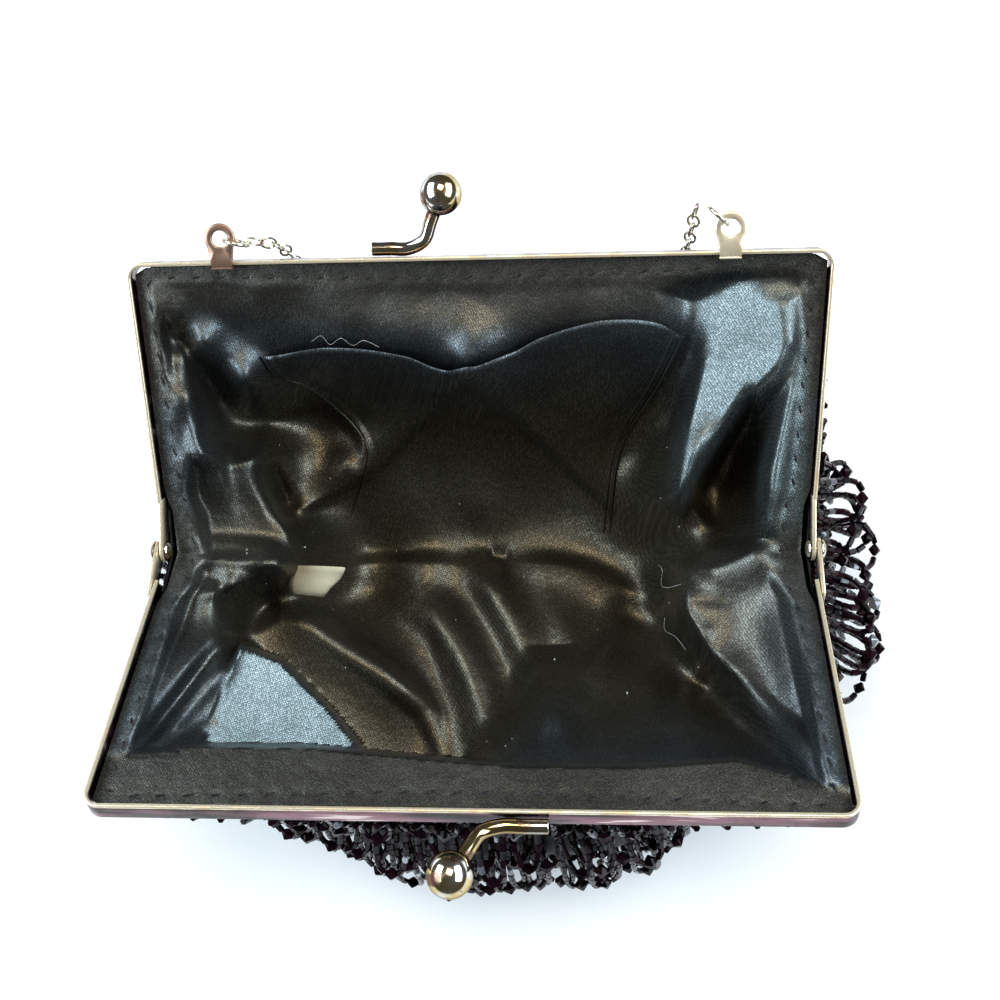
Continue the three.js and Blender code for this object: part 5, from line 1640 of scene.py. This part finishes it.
def label_ribbon():
    root = off_lining(np.array([[LABEL["x"], LABEL["y"]]], float), LABEL["off"])[0]
    fold = np.linspace(-math.pi / 2, math.pi / 2, 8)
    long, gap, end = LABEL["long"], LABEL["gap"], LABEL["fold"]
    lower = [(s * long, 0) for s in np.linspace(-0.1, end, 8)]
    bend = [(end * long + gap / 2 * math.cos(t), gap / 2 + gap / 2 * math.sin(t)) for t in fold]
    upper = [(s * long, gap + 0.7 * math.sin(math.pi * s)) for s in np.linspace(end, -0.1, 8)]
    line = np.array([(x, 0, z) for x, z in lower + bend[1:-1] + upper])
    width = np.linspace(-0.5, 0.5, 7) * LABEL["wide"]
    points = line[:, None] + np.stack([0 * width, width, 0 * width], 1)[None]
    points[..., 0] += LABEL["skew"] * points[..., 1] * points[..., 0] / long
    share = points[..., 1] / LABEL["wide"] + 0.5
    curl = LABEL["curl"] * smooth(0.55, 1.15, share) * points[..., 0] / long
    points[..., 2] += curl - LABEL["sag"] * smooth(0.4, 0, share)
    points = points.reshape(-1, 3)
    lift, turn = math.radians(LABEL["lift"]), math.radians(LABEL["turn"])
    place = Matrix.Translation(root) @ Matrix.Rotation(turn, 4, "Z") @ Matrix.Rotation(-lift, 4, "Y")
    points = np.array([place @ Vector(p) for p in points])
    index = np.arange(len(points)).reshape(len(line), len(width))
    quads = np.stack([index[:-1, :-1], index[1:, :-1], index[1:, 1:], index[:-1, 1:]], -1).reshape(-1, 4)
    warp, weft = np.meshgrid(np.arange(len(line)) * long / 8, width, indexing="ij")
    return points, [quads], warp.reshape(-1), weft.reshape(-1)


label_points, label_faces, label_warp, label_weft = label_ribbon()
label_piece = make_piece("label_ribbon", label_points, label_faces, RIBBON, ["care_label"])
paint(label_piece, "warp", label_warp)
paint(label_piece, "weft", label_weft)
thickened(label_piece, LABEL_THICK, 0)

# %% [markdown]
# ## Seams, stitches, threads and lint
# The sides of the pocket end in a narrow piping. Small stitches hold the lining to the frame, a few threads
# have come loose, and bits of lint lie on the black cloth. Seams, stitches and threads are thin tubes along
# lines on the cloth, and each kind is one mesh.

# %% Seams of the pocket
PIPING_RADIUS = 0.32
PIPING_APART = 2


def piping():
    columns, rows = POCKET_GRID
    grid = pocket_points.reshape(rows + 1, columns + 1, 3)
    lines = [grid[:, 0], grid[:, -1], grid[:, -1 - PIPING_APART]]
    return joined([sweep(line + (0, 0, PIPING_RADIUS / 2), ring_section(PIPING_RADIUS, 8)) for line in lines])


piping_points, piping_faces = piping()
piping_piece = make_piece("pocket_piping", piping_points, piping_faces, LINING_SATIN)
outward(piping_piece)

# %% Stitches at the frame
STITCH_LONG = 2.4
STITCH_RADIUS = 0.24
STITCH_ACROSS = np.array([-0.5, -0.25, 0, 0.25, 0.5])
STITCH_LIFT = (-0.25, 0.12, 0.25, 0.12, -0.25)
STITCH_SLANT = 0.8


def rim_places(along, inward):
    """Places at a distance inward from the sewn edge, by the distance along that edge."""
    length = EDGE_STEPS.sum()
    edge = np.stack([np.interp(along, EDGE_ALONG, column, period=length) for column in EDGE_PLACES.T], 1)
    to_middle = MOUTH_MIDDLE - edge
    return edge + to_middle * (inward / np.linalg.norm(to_middle, axis=1))[:, None]


def stitches():
    along = np.arange(STITCHES)[:, None] * EDGE_STEPS.sum() / STITCHES + STITCH_LONG * STITCH_ACROSS
    slant = np.broadcast_to(STITCH_INWARD + STITCH_SLANT * STITCH_ACROSS, along.shape)
    lift = np.broadcast_to(STITCH_LIFT, along.shape)
    lines = off_lining(rim_places(along.reshape(-1), slant.reshape(-1)), lift.reshape(-1)).reshape(*along.shape, 3)
    return joined([sweep(line, ring_section(STITCH_RADIUS, 6)) for line in lines])


stitch_points, stitch_faces = stitches()
stitch_piece = make_piece("rim_stitches", stitch_points, stitch_faces, BLACK_THREAD)
outward(stitch_piece)

# %% Loose threads and lint
THREAD_RADIUS = 0.07
PALE_THREADS = [  # x, y, lift off the cloth
    [(45, -4, 1.0), (47, -6, 2.2), (46, -8.5, 1.4), (48, -10, 2.0), (50, -9, 0.5)],
    [(46, -17, 0.6), (47, -20, 1.8), (49.5, -22, 1.2), (51, -25, 0.5)],
    [(-46, 57, 0.8), (-43, 59, 1.6), (-41, 56.5, 1.2), (-38, 58.5, 1.8), (-35, 56, 1.0), (-32, 57.5, 1.4),
     (-28, 55, 0.5)],
]
TUFT_MIDDLE = (39, -11)
TUFT_STRANDS = 14
LINT_COUNT = 46
LINT_SIZE = 0.22
LINT_SPREAD = (76, 56)


def loose_threads(rows):
    shapes = []
    for row in rows:
        row = np.array(row, float)
        line = curve_through(off_lining(row[:, :2], row[:, 2]), 8)
        shapes.append(sweep(line, ring_section(THREAD_RADIUS, 5)))
    return joined(shapes)


def tuft():
    """Frayed ends that stand out from one spot."""
    rows = []
    for _ in range(TUFT_STRANDS):
        turn, reach = draw.uniform(0, 2 * math.pi), draw.uniform(3, 7)
        bend = turn + draw.uniform(-0.6, 0.6)
        x, y = TUFT_MIDDLE + draw.uniform(-2.5, 2.5, 2)
        middle = (x + reach / 2 * math.cos(turn), y + reach / 2 * math.sin(turn), draw.uniform(0.8, 2))
        rows.append([(x, y, 0.1), middle, (x + reach * math.cos(bend), y + reach * math.sin(bend), 0.6)])
    return rows


def lint():
    """Specks of fluff: small eight-sided grains strewn over the cloth."""
    grain = np.array([(1, 0, 0), (-1, 0, 0), (0, 1, 0), (0, -1, 0), (0, 0, 0.6), (0, 0, -0.6)])
    sides = np.array([(0, 2, 4), (2, 1, 4), (1, 3, 4), (3, 0, 4), (2, 0, 5), (1, 2, 5), (3, 1, 5), (0, 3, 5)])
    turns = draw.uniform(0, 2 * math.pi, LINT_COUNT)
    reach = np.sqrt(draw.uniform(0, 0.85, LINT_COUNT))
    places = MOUTH_MIDDLE + np.stack([reach * np.cos(turns), reach * np.sin(turns)], 1) * LINT_SPREAD
    middles = off_lining(places, 0.2)
    return joined([(middle + grain * LINT_SIZE * draw.uniform(0.6, 1.4), [sides]) for middle in middles])


pale_points, pale_faces = loose_threads(PALE_THREADS)
outward(make_piece("loose_threads", pale_points, pale_faces, PALE_THREAD))
tuft_points, tuft_faces = loose_threads(tuft())
outward(make_piece("frayed_tuft", tuft_points, tuft_faces, BLACK_THREAD))
lint_points, lint_faces = lint()
outward(make_piece("lint_specks", lint_points, lint_faces, PALE_THREAD))

# %% [markdown]
# ## Cloth facts and sizes
# The body, lining, pocket and label are sheets. A table gives each the flat size that it was cut to, and
# the area of each mesh is printed.

# %% Cloth facts
def cloth_area(piece):
    piece.data.calc_loop_triangles()
    return sum(t.area for t in piece.data.loop_triangles)


SHEETS = [
    (body_piece, (0.52, 0.13), 0.062, "gathered", ["frame_back_metal", "frame_front_metal"]),
    (lining_piece, (0.50, 0.12), 0.055, "gathered", ["frame_back_metal", "frame_front_metal"]),
    (pocket_piece, (0.115, 0.075), 0.0080, "hung", ["lining_satin"]),
    (label_piece, (0.030, 0.010), None, "folded", ["lining_satin"]),
]
for sheet_piece, flat, flat_area, held, holder_names in SHEETS:
    print(sheet_piece.name, "area in square metres:", round(cloth_area(sheet_piece), 5))
